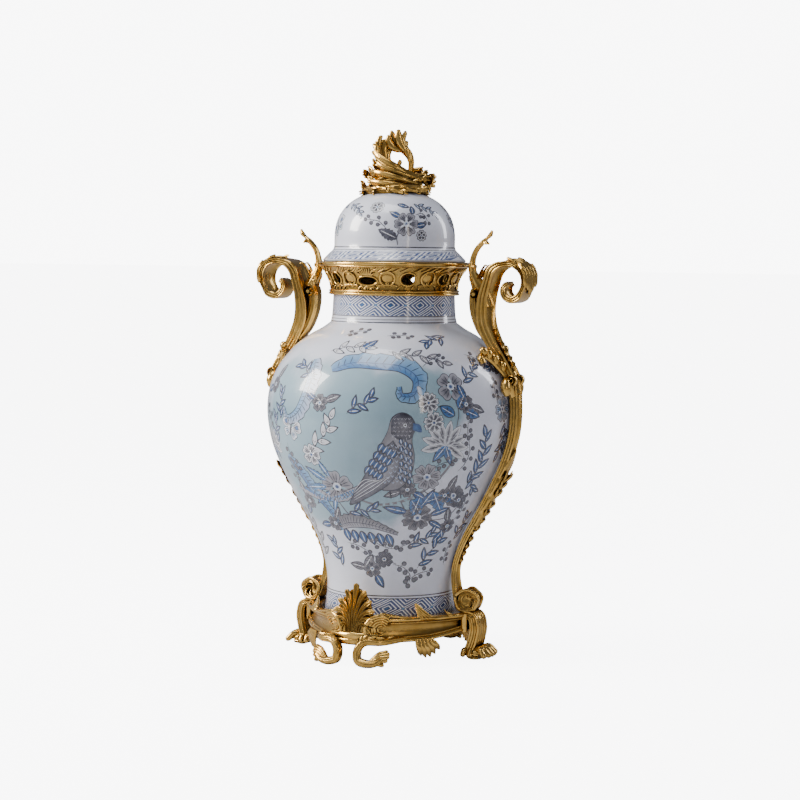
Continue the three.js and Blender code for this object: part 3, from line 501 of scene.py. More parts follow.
def spray(brush, points, leaves, length, inner, outer, start=0.1):
    """A stem with leaves on both sides in turn."""
    path = curve(points, 24)
    brush.line(path, 1.1, SLATE, 0, 0.5)
    for k in range(leaves):
        share = start + (0.95 - start) * k / max(1, leaves - 1)
        i = min(22, int(share * 23))
        heading = math.degrees(np.angle(path[i + 1] - path[i]))
        out = heading + (42 if k % 2 else -42) * (0.2 if k == leaves - 1 else 1)
        leaf(brush, path[i], out, length * (1 - 0.3 * share), 0.36 * length, inner, outer, veins=1)


def butterfly(brush, at, size, turn):
    """Two pairs of veined wings, a body and two feelers."""
    for hand in (1, -1):
        petal(brush, at, turn + 62 * hand, size, 34, GREY, WHITE, veins=(-0.6, -0.2, 0.2, 0.6))
        petal(brush, at, turn + 128 * hand, 0.72 * size, 34, SKY_BLUE, WHITE, veins=(-0.5, 0, 0.5))
        tip = at + size * 0.9 * spin(turn + 16 * hand)
        brush.line(curve([at, at + 0.5 * size * spin(turn + 8 * hand), tip], 8), 0.7, INK, 4)
        brush.fill(disc(at + 0.62 * size * spin(turn + 62 * hand), 0.14 * size),
                   at + 0.62 * size * spin(turn + 62 * hand), BLUE, DEEP_BLUE, 4)
    body = curve([at - 0.45 * size * spin(turn), at, at + 0.3 * size * spin(turn)], 9)
    brush.line(body, 0.16 * size, INK, 5, 0.9)


def plume(brush, points, width, colours, edge):
    """A long curled plume or leaf scroll: a shaded band with a scalloped edge and drawn barbs."""
    path = curve(points, 46)
    share = np.linspace(0, 1, 46)
    full = width * (0.25 + 0.75 * np.sin(math.pi * share ** 0.7)) * (1 - 0.4 * share)
    scallop = full * (1 - 0.22 * (share * 11 % 1))
    brush.strip(path, scallop + 1.1, full * 0.5 + 1.1, (INK, INK), 0)
    brush.strip(path, scallop, full * 0.5, colours, 1)
    brush.line(path, 1.0, edge, 2)
    along = np.gradient(path)
    sideways = 1j * along / np.abs(along)
    for i in range(2, 44, 2):
        tip = path[i] + sideways[i] * scallop[i] * 0.85 + along[i] * 1.2
        brush.line(np.linspace(path[i], tip, 4), 0.95, INK, 2)
        low = path[i] - sideways[i] * full[i] * 0.42 + along[i] * 1.2
        brush.line(np.linspace(path[i], low, 3), 0.8, edge, 2)


def bird(brush, at, size):
    """A perched bird of no set kind: long tail plumes, a folded wing, a speckled breast and a small beak."""
    def lay(*points):
        return at + size * np.array(points, complex)

    for bend, colour in ((0.0, PALE_GREY), (0.13, SKY_BLUE), (0.26, BLUE), (0.4, PALE_GREY)):
        tail = curve(lay(-0.06 - 0.12j, -0.3 - 0.34j - bend * 0.2, -0.58 - 0.48j - bend * 0.5,
                         -0.9 - 0.36j - bend), 30)
        brush.line(tail, 0.085 * size, INK, 1, 0.6)
        brush.line(tail, 0.062 * size, colour, 2, 0.6)
        for i in range(5, 29, 2):
            brush.line(tail[i] + np.linspace(-0.022, 0.022, 3) * size * spin(65), 0.6, INK, 3, 0)
    outline = curve(lay(-0.16 - 0.16j, 0.0 - 0.3j, 0.2 - 0.28j, 0.34 - 0.08j, 0.38 + 0.16j,
                        0.35 + 0.36j, 0.39 + 0.52j, 0.33 + 0.64j, 0.22 + 0.68j, 0.11 + 0.62j, 0.06 + 0.46j,
                        -0.04 + 0.26j, -0.12 + 0.04j, -0.16 - 0.16j), 60)[:-1]
    middle = lay(0.14 + 0.16j)[0]
    brush.fill(middle + (outline - middle) * 1.04, middle, INK, INK, 3)
    brush.fill(outline, middle, PALE_GREY, GREY, 4)
    head = curve(lay(0.1 + 0.44j, 0.2 + 0.36j, 0.34 + 0.38j, 0.385 + 0.52j, 0.33 + 0.64j, 0.22 + 0.68j,
                     0.115 + 0.61j, 0.1 + 0.44j), 34)[:-1]
    brush.fill(head, lay(0.26 + 0.54j)[0], GREY, INK, 5)
    wing = curve(lay(0.12 + 0.34j, 0.22 + 0.14j, 0.14 - 0.14j, -0.1 - 0.36j, -0.4 - 0.52j,
                     -0.24 - 0.16j, -0.08 + 0.14j, 0.12 + 0.34j), 40)[:-1]
    wing_middle = lay(0.0 - 0.06j)[0]
    brush.fill(wing_middle + (wing - wing_middle) * 1.06, wing_middle, INK, INK, 6)
    brush.fill(wing, wing_middle, PALE_GREY, SLATE, 7)
    brush.level = 8
    for row in range(4):
        for k in range(4):
            root = lay(0.155 - 0.05 * k - 0.055 * row + 1j * (0.22 - 0.1 * row + 0.03 * k))[0]
            leaf(brush, root, -122, 0.1 * size, 0.062 * size, BLUE, DEEP_BLUE, veins=0)
    for k in range(5):
        quill = curve(lay(0.09 - 0.045 * k - 0.12j - 0.02j * k, -0.1 - 0.03 * k - 0.3j + 0.03j * k,
                          -0.36 - 0.48j + 0.035j * k), 10)
        brush.line(quill, 1.5, SLATE, 0)
        brush.line(quill + 0.8j, 0.7, WHITE, 1)
    for row in range(6):
        for k in range(3):
            aside, up = 0.315 - 0.055 * k + 0.012 * row * (1 - row / 6), -0.16 + 0.095 * row + 0.03 * k
            spot = lay(complex(aside, up))[0]
            leaf(brush, spot, -80, 0.065 * size, 0.04 * size, BLUE, DEEP_BLUE, veins=0)
    for k in range(7):
        brush.line(lay(0.12 + 0.033 * k + 0.37j + 0.006j * (k - 3) ** 2,
                       0.125 + 0.033 * k + 0.34j + 0.006j * (k - 3) ** 2), 1.0, WHITE, 2)
    for row in range(8):
        for k in range(5):
            aside, up = 0.32 - 0.05 * k - 0.006 * (row - 4) ** 2, -0.19 + 0.068 * row + 0.02 * (k % 2)
            spot = lay(complex(aside, up))[0]
            brush.line(spot + size * np.array([-0.016, -0.024j, 0.016]), 1.0, PALE_BLUE, 0, 0.3)
    for row in range(5):
        for k in range(5):
            spot = lay(0.14 + 0.045 * k + 0.012 * (row % 2) + 1j * (0.63 - 0.05 * row))[0]
            brush.line(spot + size * np.array([-0.013, -0.018j, 0.013]), 0.8, PALE_GREY, 0, 0.3)
    eye = lay(0.27 + 0.545j)[0]
    brush.fill(disc(eye, 0.021 * size, 12), eye, WHITE, WHITE, 2)
    brush.fill(disc(eye, 0.012 * size, 8), eye, INK, INK, 3)
    beak = curve(lay(0.365 + 0.57j, 0.45 + 0.55j, 0.47 + 0.46j, 0.41 + 0.47j, 0.365 + 0.49j,
                     0.365 + 0.57j), 20)[:-1]
    brush.fill(beak, lay(0.4 + 0.52j)[0], BLUE, DEEP_BLUE, 1)
    brush.level = 0
    for foot in (0.08, 0.2):
        brush.line(lay(*np.linspace(foot - 0.26j, foot + 0.02 - 0.43j, 4)), 1.6, INK, 3, 0.2)


BAND_STEPS = 181


def lozenges(brush, middle, half, count, rings, turn=0.0):
    """A band of concentric white lozenges with blue hearts on a blue ground, half its height to each side."""
    brush.move(turn, middle)
    radius = np.interp(middle, brush.side[:, 1], brush.side[:, 0])
    around = np.linspace(0, math.tau * radius, BAND_STEPS)
    slices = 8
    for k in range(slices):
        level = half * ((2 * k + 1) / slices - 1)
        reach = half / slices * np.ones(BAND_STEPS)
        brush.strip(around + 1j * level, reach, reach, ("#3b4f86", "#475c92"), 0)
    step = math.tau * radius / count
    corner_ways = np.array([step / 2, 1j * half, -step / 2, -1j * half])
    for k in range(2 * count):
        for row in ((0,) if k % 2 else (-1, 1)):
            at = 0.5 * step * k + 1j * row * half
            for ring in range(rings):
                corners = (ring + 1) / (rings + 0.4) * corner_ways
                for a in range(4):
                    path = at + np.linspace(corners[a], corners[(a + 1) % 4], 5)
                    inside_band = np.abs(path.imag) <= half * 1.001
                    if inside_band.sum() > 1:
                        brush.line(path[inside_band], 1.15, WHITE, 2, 0)
            if row == 0:
                brush.fill(at + 0.2 * corner_ways, at, BLUE, DEEP_BLUE, 3)
                for hand in (1, -1):
                    knot = at + hand * step / 2
                    brush.fill(knot + 0.13 * corner_ways, knot, SKY_BLUE, BLUE, 3)


def ring_line(brush, height, width):
    """An ink line all the way round at one height."""
    brush.move(0, height)
    radius = np.interp(height, brush.side[:, 1], brush.side[:, 0])
    brush.line(np.linspace(0, math.tau * radius, BAND_STEPS), width, INK, 3, 0)


painting = Brush(jar_outline)
lozenges(painting, 408, 12, 13, 3)
lozenges(painting, 62.3, 11.8, 13, 3)
for height, width in ((395.2, 1.0), (391.5, 0.7), (388.2, 1.2), (73.4, 0.8), (76.6, 1.2), (420.3, 0.9)):
    ring_line(painting, height, width)

FILLING = (
    (38, 330, 40, 0), (46, 350, -30, 1), (36, 268, 100, 1), (44, 214, -60, 0), (24, 232, 20, 1),
    (30, 196, 70, 2), (8, 204, 200, 2), (-20, 176, 10, 0), (-4, 136, 160, 1), (20, 140, 30, 0),
    (40, 158, 110, 2), (-44, 334, 150, 0), (-34, 300, 20, 2), (-60, 290, 90, 0), (-58, 214, 80, 1),
    (62, 250, 90, 1), (60, 340, 60, 2), (2, 374, 0, 1), (30, 372, 200, 0), (-30, 376, 30, 1),
    (34, 300, -20, 2), (-40, 160, 60, 2), (50, 120, 90, 1), (-46, 120, 100, 0), (-28, 134, -20, 1),
    (-16, 108, 170, 2), (24, 100, 20, 1), (-56, 184, 100, 2), (-66, 260, 80, 0), (4, 246, 160, 1),
    (-16, 296, 30, 0), (54, 310, 90, 1), (56, 150, 80, 0), (-70, 316, 70, 2),
)

# One picture faces the camera and its like is on the back: a bird on a flowering branch under a leaf scroll.
for face_angle in PICTURE_ANGLES:
    def here(angle, height):
        painting.move(face_angle + angle, height)

    here(-2, 222)
    stem(painting, [-34 - 34j, -14 - 40j, 14 - 36j, 40 - 22j, 62 - 2j, 80 + 22j], 3.2, GREY)
    stem(painting, [14 - 36j, 22 - 54j, 36 - 66j], 2.0)
    stem(painting, [40 - 22j, 52 - 30j, 72 - 30j], 1.8)
    bird(painting, -6 + 8j, 92)
    peony(painting, 66 + 34j, 30, 78)
    blossom(painting, 44 - 4j, 17, 6, 10)
    blossom(painting, 78 - 30j, 15, 5, 40, SLATE, GREY)
    for root, turn, length in ((52 - 24j, -70, 30), (36 - 30j, -110, 27), (62 - 26j, -30, 26),
                               (26 - 34j, -60, 22)):
        leaf(painting, root, turn, length, 0.62 * length, DEEP_BLUE, BLUE, teeth=5)
    berries(painting, [82 + 2j, 92 + 12j, 98 + 26j, 96 + 40j], 7)
    here(-30, 205)
    blossom(painting, 0 + 0j, 21, 5, 25, GREY, PALE_GREY, SKY_BLUE)
    for turn, length in ((150, 30), (185, 34), (215, 28), (120, 24), (250, 22)):
        leaf(painting, 14 * spin(turn), turn, length, 0.3 * length, SKY_BLUE, BLUE, teeth=7, veins=1)
    stem(painting, [-4 - 18j, 8 - 40j, 26 - 52j], 1.6)
    here(-34, 258)
    spray(painting, [-20 - 14j, -4 - 2j, 10 + 12j, 16 + 30j], 7, 17, PALE_GREY, WHITE)
    here(-6, 338)
    plume(painting, [-58 - 2j, -34 + 8j, -4 + 8j, 24 + 4j, 42 - 12j, 38 - 30j, 24 - 30j, 22 - 20j], 17,
          (SKY_BLUE, BLUE), DEEP_BLUE)
    berries(painting, [46 + 4j, 56 + 14j, 68 + 16j], 5, 2.0, INK)
    here(26, 318)
    blossom(painting, 2 + 2j, 17, 4, 45, SLATE, PALE_GREY)
    blossom(painting, -26 - 16j, 12, 8, 10, GREY, WHITE, SLATE)
    blossom(painting, -20 - 38j, 12, 8, 30, GREY, WHITE, SLATE)
    for root, turn in ((10 - 22j, 60), (4 - 30j, 150), (20 - 26j, -20)):
        leaf(painting, root, turn, 19, 11, DEEP_BLUE, BLUE, veins=2)
    stem(painting, [6 - 14j, 10 - 26j, 8 - 44j], 1.2)
    here(14, 350)
    spray(painting, [-34 + 10j, -14 + 6j, 8 + 2j, 34 - 8j], 8, 14, GREY, PALE_GREY)
    here(-22, 358)
    spray(painting, [-30 - 2j, -16 + 4j, 2 + 6j, 18 + 4j], 6, 14, PALE_GREY, WHITE)
    leaf(painting, 8 + 2j, 50, 20, 11, BLUE, DEEP_BLUE, teeth=5, veins=2)
    here(-52, 318)
    plume(painting, [18 + 34j, 26 + 12j, 24 - 12j, 12 - 32j, -6 - 38j, -14 - 26j], 15,
          (PALE_BLUE, SKY_BLUE), SLATE)
    here(-50, 262)
    butterfly(painting, -6 + 6j, 19, 70)
    blossom(painting, 22 - 22j, 13, 5, 0, GREY, WHITE)
    berries(painting, [-18 - 10j, -16 - 28j, -6 - 40j], 6, 2.4)
    here(-48, 196)
    plume(painting, [-28 + 44j, -10 + 24j, 2 + 0j, 16 - 26j, 20 - 50j], 13, (SKY_BLUE, BLUE), SLATE)
    here(-20, 152)
    plume(painting, [-34 + 4j, -14 + 12j, 12 + 10j, 40 - 2j], 15, (GREY, PALE_GREY), SLATE)
    for k in range(6):
        leaf(painting, -22 + 10 * k + (2 - k) * 1j, -78, 15, 8, BLUE, DEEP_BLUE, veins=0)
    here(16, 170)
    blossom(painting, 0j, 18, 7, 0, SLATE, GREY)
    for root, turn, length in ((-14 + 8j, 165, 26), (2 + 16j, 60, 24), (16 + 4j, 20, 22),
                               (16 - 6j, -30, 20)):
        leaf(painting, root, turn, length, 0.34 * length, BLUE, DEEP_BLUE, veins=2)
    stem(painting, [14 - 4j, 34 - 2j, 48 + 10j, 52 + 28j], 1.3)
    blossom(painting, 50 + 22j, 11, 5, 10, GREY, SLATE)
    berries(painting, [4 - 20j, -2 - 34j, -16 - 40j], 7, 2.6, SLATE)
    here(0, 112)
    blossom(painting, -8 + 8j, 10, 5, 36, GREY, SLATE, SLATE)
    stem(painting, [-34 + 16j, -20 + 12j, -8 + 8j, 6 + 2j], 1.2)
    berries(painting, [2 + 2j, 14 - 2j, 22 - 12j, 20 - 22j], 8, 2.5, SLATE)
    leaf(painting, -22 + 12j, -120, 18, 8, PALE_GREY, GREY)
    here(34, 128)
    spray(painting, [-16 - 20j, -6 - 4j, 6 + 12j, 12 + 30j], 7, 15, BLUE, DEEP_BLUE)
    here(46, 236)
    spray(painting, [-6 - 30j, 2 - 8j, 4 + 12j, 0 + 34j], 8, 18, BLUE, DEEP_BLUE)
    here(50, 178)
    berries(painting, [-12 - 18j, -6 - 2j, -8 + 16j], 7, 2.3)
    here(58, 292)
    blossom(painting, 0j, 15, 6, 0, SKY_BLUE, PALE_GREY, GREY)
    spray(painting, [6 - 14j, 10 - 34j, 2 - 54j], 6, 16, BLUE, DEEP_BLUE)
    here(-72, 150)
    spray(painting, [0 - 40j, 6 - 14j, 2 + 12j, -10 + 36j], 9, 17, PALE_GREY, GREY)
    # Small sprigs, berries and blossoms fill the ground between, by angle, height, turn and kind.
    for angle, height, turn, kind in FILLING:
        here(angle, height)
        tip = 22 * spin(turn)
        if kind == 0:
            spray(painting, [-0.6 * tip, 3j * spin(turn), 0.6 * tip, tip + 5j * spin(turn)], 6, 13,
                  BLUE, DEEP_BLUE)
        elif kind == 1:
            berries(painting, [-0.5 * tip, 2j * spin(turn), 0.7 * tip], 6, 2.2, SLATE)
        else:
            blossom(painting, 0j, 10, 5, turn, SLATE, GREY, SKY_BLUE)
            leaf(painting, 9 * spin(turn), turn, 17, 8, SLATE, GREY, veins=2)
            leaf(painting, 9 * spin(turn + 130), turn + 130, 15, 8, BLUE, DEEP_BLUE, veins=2)
    here(-74, 246)
    peony(painting, 0j, 22, 90, GREY, WHITE)
    berries(painting, [2 + 18j, 4 + 34j, -6 + 44j], 6)
    here(80, 200)
    peony(painting, 0j, 24, 60, SLATE, PALE_GREY)
    spray(painting, [0 - 10j, 4 - 34j, -6 - 58j], 7, 17, BLUE, DEEP_BLUE)

enamels, tree = empty_material("brushed_enamels")
# Enamel and cobalt brushed on thinly: the colours pool and thin out along the strokes, and the whole has
# the gloss of the glaze.
paint = node(tree, "ShaderNodeVertexColor", {"layer_name": "paint"}, {})
grain = node(tree, "ShaderNodeTexCoord", {}, {})
pool = node(tree, "ShaderNodeTexNoise", {},
            {"Vector": grain.outputs["Object"], "Scale": 160.0, "Detail": 3.0})
thin = node(tree, "ShaderNodeMapRange", {}, {
    "Value": pool.outputs["Fac"], "From Min": 0.35, "From Max": 0.7, "To Min": 0.0, "To Max": 0.1})
body = node(tree, "ShaderNodeMixRGB", {}, {
    "Fac": thin.outputs["Result"], "Color1": paint.outputs["Color"], "Color2": linear("#dbe0ef")})
surface = node(tree, "ShaderNodeBsdfPrincipled", {}, {
    "Base Color": body.outputs["Color"], "Roughness": 0.32, "IOR": 1.5, "Coat Weight": 1.0,
    "Coat Roughness": 0.05, "Coat IOR": 1.5,
})
node(tree, "ShaderNodeOutputMaterial", {}, {"Surface": surface.outputs["BSDF"]})
painting.piece("jar_painting", enamels, "jar_body")

# The lid. It is turned porcelain like the jar, a high dome on a flared brim, with a ring underneath that
# drops into the collar's mouth. It lifts off.
LID = 457.3
DOME_RADIUS, DOME_START, DOME_RISE, SQUARENESS = 70.2, LID + 24, 58, 2.4
BRIM_RADIUS = 83.1
TONGUE_RADIUS = 82.5


def dome(share, radius):
    """The radius of the lid's dome at a share of its height. It is fuller than half a ball."""
    return radius * (1 - share ** SQUARENESS) ** (1 / SQUARENESS)


brim_side = smooth_curve([(BRIM_RADIUS, LID + 1.6), (76.4, LID + 8.6), (71.5, LID + 13.6),
                          (70.2, LID + 17.5)], 24)
dome_shares = np.sin(np.linspace(0, math.pi / 2, 44)[:-1])
dome_side = np.array([(dome(share, DOME_RADIUS), DOME_START + share * DOME_RISE) for share in dome_shares])
lid_side = np.vstack([brim_side, dome_side, [(0.01, DOME_START + DOME_RISE)]])
under_side = np.array([(dome(share, DOME_RADIUS - 5), LID + 16 + share * (DOME_RISE + 3))
                       for share in dome_shares[::-2]])
lid_loop = [
    *lid_side, (0.01, DOME_START + DOME_RISE - 5), *under_side, (TONGUE_RADIUS - 5, LID + 4),
    (TONGUE_RADIUS - 5, LID - 3.6), (TONGUE_RADIUS - 4.2, LID - 4.5), (TONGUE_RADIUS - 1, LID - 4.5),
    (TONGUE_RADIUS - 0.3, LID - 3.8), (TONGUE_RADIUS - 0.3, LID), (BRIM_RADIUS - 0.8, LID),
    (BRIM_RADIUS, LID + 0.8),
]
lid_points, lid_faces = turned(lid_loop, TURNED_STEPS)
new_piece("lid_porcelain", lid_points, lid_faces, [glazed_porcelain], "lid")
lid_painting = Brush(lid_side)
lozenges(lid_painting, 464.2, 6.4, 15, 2, 4)
for height, width in ((473.6, 1.3), (470.4, 0.7), (458.9, 0.7)):
    ring_line(lid_painting, height, width)
for k, face_angle in enumerate((-66, 30, 114, 210)):
    lid_painting.move(face_angle + 6, 497)
    if k % 2 == 0:
        blossom(lid_painting, 6 + 3j, 14, 6, 0, SLATE, PALE_GREY, SKY_BLUE)
        stem(lid_painting, [-4 - 21j, -5 - 12j, 0 - 2j], 1.3)
        leaf(lid_painting, -6 - 13j, 155, 21, 12, INK, SLATE, teeth=6)
        leaf(lid_painting, -2 + 12j, 150, 11, 6, BLUE, DEEP_BLUE)
        leaf(lid_painting, 14 + 16j, 100, 9, 5, BLUE, DEEP_BLUE)
        berries(lid_painting, [16 + 14j, 26 + 16j, 33 + 6j], 6, 1.7)
        leaf(lid_painting, 19 + 1j, 10, 10, 6, BLUE, DEEP_BLUE)
        berries(lid_painting, [-16 - 4j, -26 + 6j, -40 + 8j], 6, 1.9)
        blossom(lid_painting, 24 - 10j, 6, 5, 90, SLATE, WHITE, GREY)
    else:
        butterfly(lid_painting, 10 + 0j, 15, 130)
        spray(lid_painting, [-24 - 16j, -22 - 2j, -12 + 12j], 7, 13, BLUE, DEEP_BLUE)
        blossom(lid_painting, -34 + 8j, 8, 5, 0, GREY, WHITE)
    lid_painting.move(face_angle - 20, 519)
    blossom(lid_painting, 0j, 8, 6, 20, GREY, WHITE, SKY_BLUE)
    lid_painting.move(face_angle + 4, 522)
    leaf(lid_painting, 0j, -20, 11, 5, BLUE, DEEP_BLUE)
    lid_painting.move(face_angle + 32, 520)
    spray(lid_painting, [-10 + 4j, 0j, 10 - 5j, 18 - 14j], 7, 7, SLATE, BLUE)
lid_painting.piece("lid_painting", enamels, "lid")

# The collar. It is a gilt bronze casting, pierced with ten openings, that grips the jar's neck by a ring
# inside and carries the lid on its rim. Like all the mounts it is cast, chased, fire-gilt and burnished.
gilt_bronze, tree = empty_material("fire_gilt_bronze")
# Mercury gilding over chased bronze: bright burnished gold on the raised parts, with fine chasing marks all
# over.
# Painted shade: ambient occlusion and pointiness darken the hollows and creases to a matt brown.
grain = node(tree, "ShaderNodeTexCoord", {}, {})
form = node(tree, "ShaderNodeNewGeometry", {}, {})
# Painted shade: ambient occlusion darkens the gold in the hollows, and pointiness darkens it in the creases.
occlusion_shade = node(tree, "ShaderNodeAmbientOcclusion", {"samples": 6}, {"Distance": 0.006})
hollow_shade = node(tree, "ShaderNodeMapRange", {"interpolation_type": "SMOOTHSTEP"}, {
    "Value": occlusion_shade.outputs["AO"], "From Min": 0.22, "From Max": 0.92})
crease_shade = node(tree, "ShaderNodeMapRange", {}, {
    "Value": form.outputs["Pointiness"], "From Min": 0.44, "From Max": 0.53, "To Min": 0.25, "To Max": 1.0})
unshaded_share = node(tree, "ShaderNodeMath", {"operation": "MULTIPLY"}, {
    0: hollow_shade.outputs["Result"], 1: crease_shade.outputs["Result"]})
mottle = node(tree, "ShaderNodeTexNoise", {},
              {"Vector": grain.outputs["Object"], "Scale": 90.0, "Detail": 4.0})
gilding = node(tree, "ShaderNodeMixRGB", {}, {
    "Fac": mottle.outputs["Fac"], "Color1": linear("#c69438"), "Color2": linear("#f5cc78")})
# Painted shade: where the hollows and creases are shaded, the gold turns to a dark brown.
body = node(tree, "ShaderNodeMixRGB", {}, {
    "Fac": unshaded_share.outputs["Value"], "Color1": linear("#33200a"), "Color2": gilding.outputs["Color"]})
polish = node(tree, "ShaderNodeMapRange", {}, {
    "Value": unshaded_share.outputs["Value"], "From Min": 0.0, "From Max": 1.0, "To Min": 0.42, "To Max": 0.17})
chasing = node(tree, "ShaderNodeTexNoise", {},
               {"Vector": grain.outputs["Object"], "Scale": 420.0, "Detail": 3.0})
marks = node(tree, "ShaderNodeBump", {},
             {"Height": chasing.outputs["Fac"], "Strength": 0.14, "Distance": 0.0012})
surface = node(tree, "ShaderNodeBsdfPrincipled", {}, {
    "Base Color": body.outputs["Color"], "Metallic": 1.0, "Roughness": polish.outputs["Result"],
    "Normal": marks.outputs["Normal"],
})
node(tree, "ShaderNodeOutputMaterial", {}, {"Surface": surface.outputs["BSDF"]})

across = np.linspace(-1, 1, 19)
below = np.linspace(0.92, -0.92, 5)


def ridge(middle, width, rise):
    """A raised line along a section, or a groove where its rise is negative."""
    return rise * np.exp(-((across - middle) / width) ** 2)


def cross_section(front, back):
    """A closed outline between -1 and 1, with a front as chased and a plainer back."""
    return np.vstack([np.stack([across, front], 1), np.stack([below, back], 1)])


ROUND = np.array([(math.cos(a), math.sin(a)) for a in np.arange(12) * math.tau / 12])
turn_round = np.arange(48) * math.tau / 48
squarish = (np.abs(np.cos(turn_round)) ** 3 + np.abs(np.sin(turn_round)) ** 3) ** (-1 / 3)
flutes = 0.87 + 0.13 * np.abs(np.cos(6 * turn_round + 0.26)) ** 0.7
FLUTED = np.stack([np.cos(turn_round), np.sin(turn_round)], 1) * (squarish * flutes)[:, None]
rim_round = np.linspace(-0.94, 0.94, 17)
flank = np.linspace(0.86, -0.86, 13)
flank_out = 0.9 + 0.1 * np.abs(np.sin(1.5 * math.pi * (flank + 1))) ** 0.7
TROUGH = np.vstack([
    np.stack([rim_round, 1 - 1.15 * (1 - (np.abs(rim_round) / 0.94) ** 3.2)], 1),
    np.stack([flank_out, flank], 1),
    np.stack([rim_round[::-1], -0.9 - 0.1 * np.abs(np.cos(2.5 * math.pi * rim_round[::-1])) ** 0.7], 1),
    np.stack([-flank_out, -flank], 1)])
RIBBED = cross_section(
    0.75 * np.sqrt(1 - 0.9 * across ** 2) - 0.3 + sum(ridge(m, 0.12, 0.38) for m in (-0.62, 0, 0.62)),
    -0.8 * np.sqrt(1 - 0.85 * below ** 2))
GADROON = cross_section(0.95 * np.sqrt(1 - across ** 2) + ridge(-0.4, 0.08, -0.25) + ridge(0.4, 0.08, -0.25),
                        -0.95 * np.sqrt(1 - below ** 2))


class Casting:
    """Gathers the shapes that one bronze casting is built up from."""

    def __init__(self):
        self.points, self.faces, self.count = [], [], 0

    def skin(self, rows, capped=True):
        """Adds rows of points, each closed on itself, as one surface. Both ends are capped, or else the last
        row is joined to the first one."""
        rows = np.asarray(rows, float)
        n, m = rows.shape[:2]
        grid = np.arange(n * m).reshape(n, m) + self.count
        after = np.roll(grid, -1, axis=1)
        self.faces.extend(np.stack([grid[:-1], after[:-1], after[1:], grid[1:]], -1).reshape(-1, 4).tolist())
        if capped:
            self.faces.append(grid[0][::-1].tolist())
            self.faces.append(grid[-1].tolist())
        else:
            self.faces.extend(np.stack([grid[-1], after[-1], after[0], grid[0]], -1).tolist())
        self.points.append(rows.reshape(-1, 3))
        self.count += n * m

    def bar(self, path, widths, thicknesses, side, section):
        """Sweeps a section along a path. Its width lies along side, and its front faces side x path."""
        path = np.asarray(path, float)
        axis_across, axis_through = bar_axes(path, side)
        wide = np.broadcast_to(widths, len(path))[:, None, None] / 2
        thick = np.broadcast_to(thicknesses, len(path))[:, None, None] / 2
        self.skin(path[:, None] + axis_across[:, None] * section[None, :, :1] * wide
                  + axis_through[:, None] * section[None, :, 1:] * thick)

    def tube(self, path, radii):
        """Sweeps a round section along a path. Its roundness makes the direction of its side free."""
        sizes = np.broadcast_to(radii, len(path)) * 2.0
        self.bar(path, sizes, sizes, (0.31, 0.17, 0.94), ROUND)

    def foliage(self, path, widths, side, lobes, depth, relief, thickness, cup):
        """An acanthus leaf along a path: lobed edges that lean towards its tip, a rib in each lobe and down
        the middle. cup lifts the edges, and a negative one presses them down."""
        path = np.asarray(path, float)
        axis_across, axis_through = bar_axes(path, side)
        rows, columns, lean = 9 * lobes, 25, 0.6
        v = np.linspace(0, 1, rows)[:, None] * np.ones(columns)
        u = np.ones(rows)[:, None] * np.linspace(-1, 1, columns)
        forward = np.clip(v + lean * np.abs(u) ** 1.6 / lobes * (1 - v * 0.7), 0, 1) * (len(path) - 1)
        scallop = np.abs(np.sin(math.pi * v * lobes)) ** 0.55
        reach = (1 - depth + depth * scallop) * np.interp(v, np.linspace(0, 1, len(path)), widths) / 2
        rise = relief * (np.abs(u) ** 0.8 * (2 * np.abs(np.sin(math.pi * v * lobes)) - 1)
                         + 0.9 * np.exp(-(u / 0.13) ** 2)) + cup * u ** 2
        spots = np.arange(len(path))

        def along(values):
            return np.stack([np.interp(forward, spots, values[:, k]) for k in range(3)], -1)

        middle, sideways, outward = along(path), along(axis_across), along(axis_through)
        front = middle + sideways * (u * reach)[..., None] + outward * rise[..., None]
        body = thickness * (1.05 - np.abs(u) ** 3)
        back = middle + sideways * (u * reach * 0.97)[..., None] + outward * (rise * 0.3 - body)[..., None]
        self.skin(np.concatenate([front, back[:, ::-1]], axis=1))

    def piece(self, name, stands_for, turn=0.0):
        """Makes the mesh, turned about the upright axis, with crisp creases between its forms."""
        cosine, sine = math.cos(turn), math.sin(turn)
        points = np.vstack(self.points) @ np.array([(cosine, sine, 0), (-sine, cosine, 0), (0, 0, 1)])
        made = new_piece(name, points, self.faces, [gilt_bronze], stands_for)
        shape = bmesh.new()
        shape.from_mesh(made.data)
        bmesh.ops.recalc_face_normals(shape, faces=shape.faces)
        shape.to_mesh(made.data)
        shape.free()
        made.data.set_sharp_from_angle(angle=math.radians(58))


def bar_axes(path, side):
    """The two axes of a section at each point of a path: across it and through it."""
    along = np.gradient(path, axis=0)
    along /= np.linalg.norm(along, axis=1)[:, None]
    through = np.cross(np.broadcast_to(np.asarray(side, float), path.shape), along)
    through /= np.linalg.norm(through, axis=1)[:, None]
    return np.cross(along, through), through


def stations_path(stations, count):
    """A smooth path through stations of x, y, z, width and thickness."""
    stations = np.array(stations, float)
    places = np.linspace(0, len(stations) - 1, count)
    sizes = [np.interp(places, np.arange(len(stations)), stations[:, k]) for k in (3, 4)]
    return smooth_curve(stations[:, :3], count), sizes[0], sizes[1]


BAND_Z, BAND_TOP, RIM_Z, RIM_TOP = 418.5, 425.0, 452.0, 457.0
BAND_RADIUS, RIM_RADIUS = 74.45, 87.95
COLLAR_HOLES = 10
HOLE_Z = mix(BAND_TOP, RIM_Z, 0.46)


def cavetto(z):
    """The radius of the collar's hollow wall, which flares from the band to the rim."""
    share = np.clip((np.asarray(z, float) - BAND_TOP) / (RIM_Z - BAND_TOP), 0, 1)
    return mix(BAND_RADIUS - 1.5, RIM_RADIUS - 2, share ** 2.1)


def on_collar(angle, z, out=0.0):
    """Points on the collar's wall at angles in degrees and heights."""
    turn = np.radians(angle)
    radius = cavetto(z) + out
    return np.stack(np.broadcast_arrays(radius * np.cos(turn), radius * np.sin(turn),
                                        np.asarray(z, float)), -1)


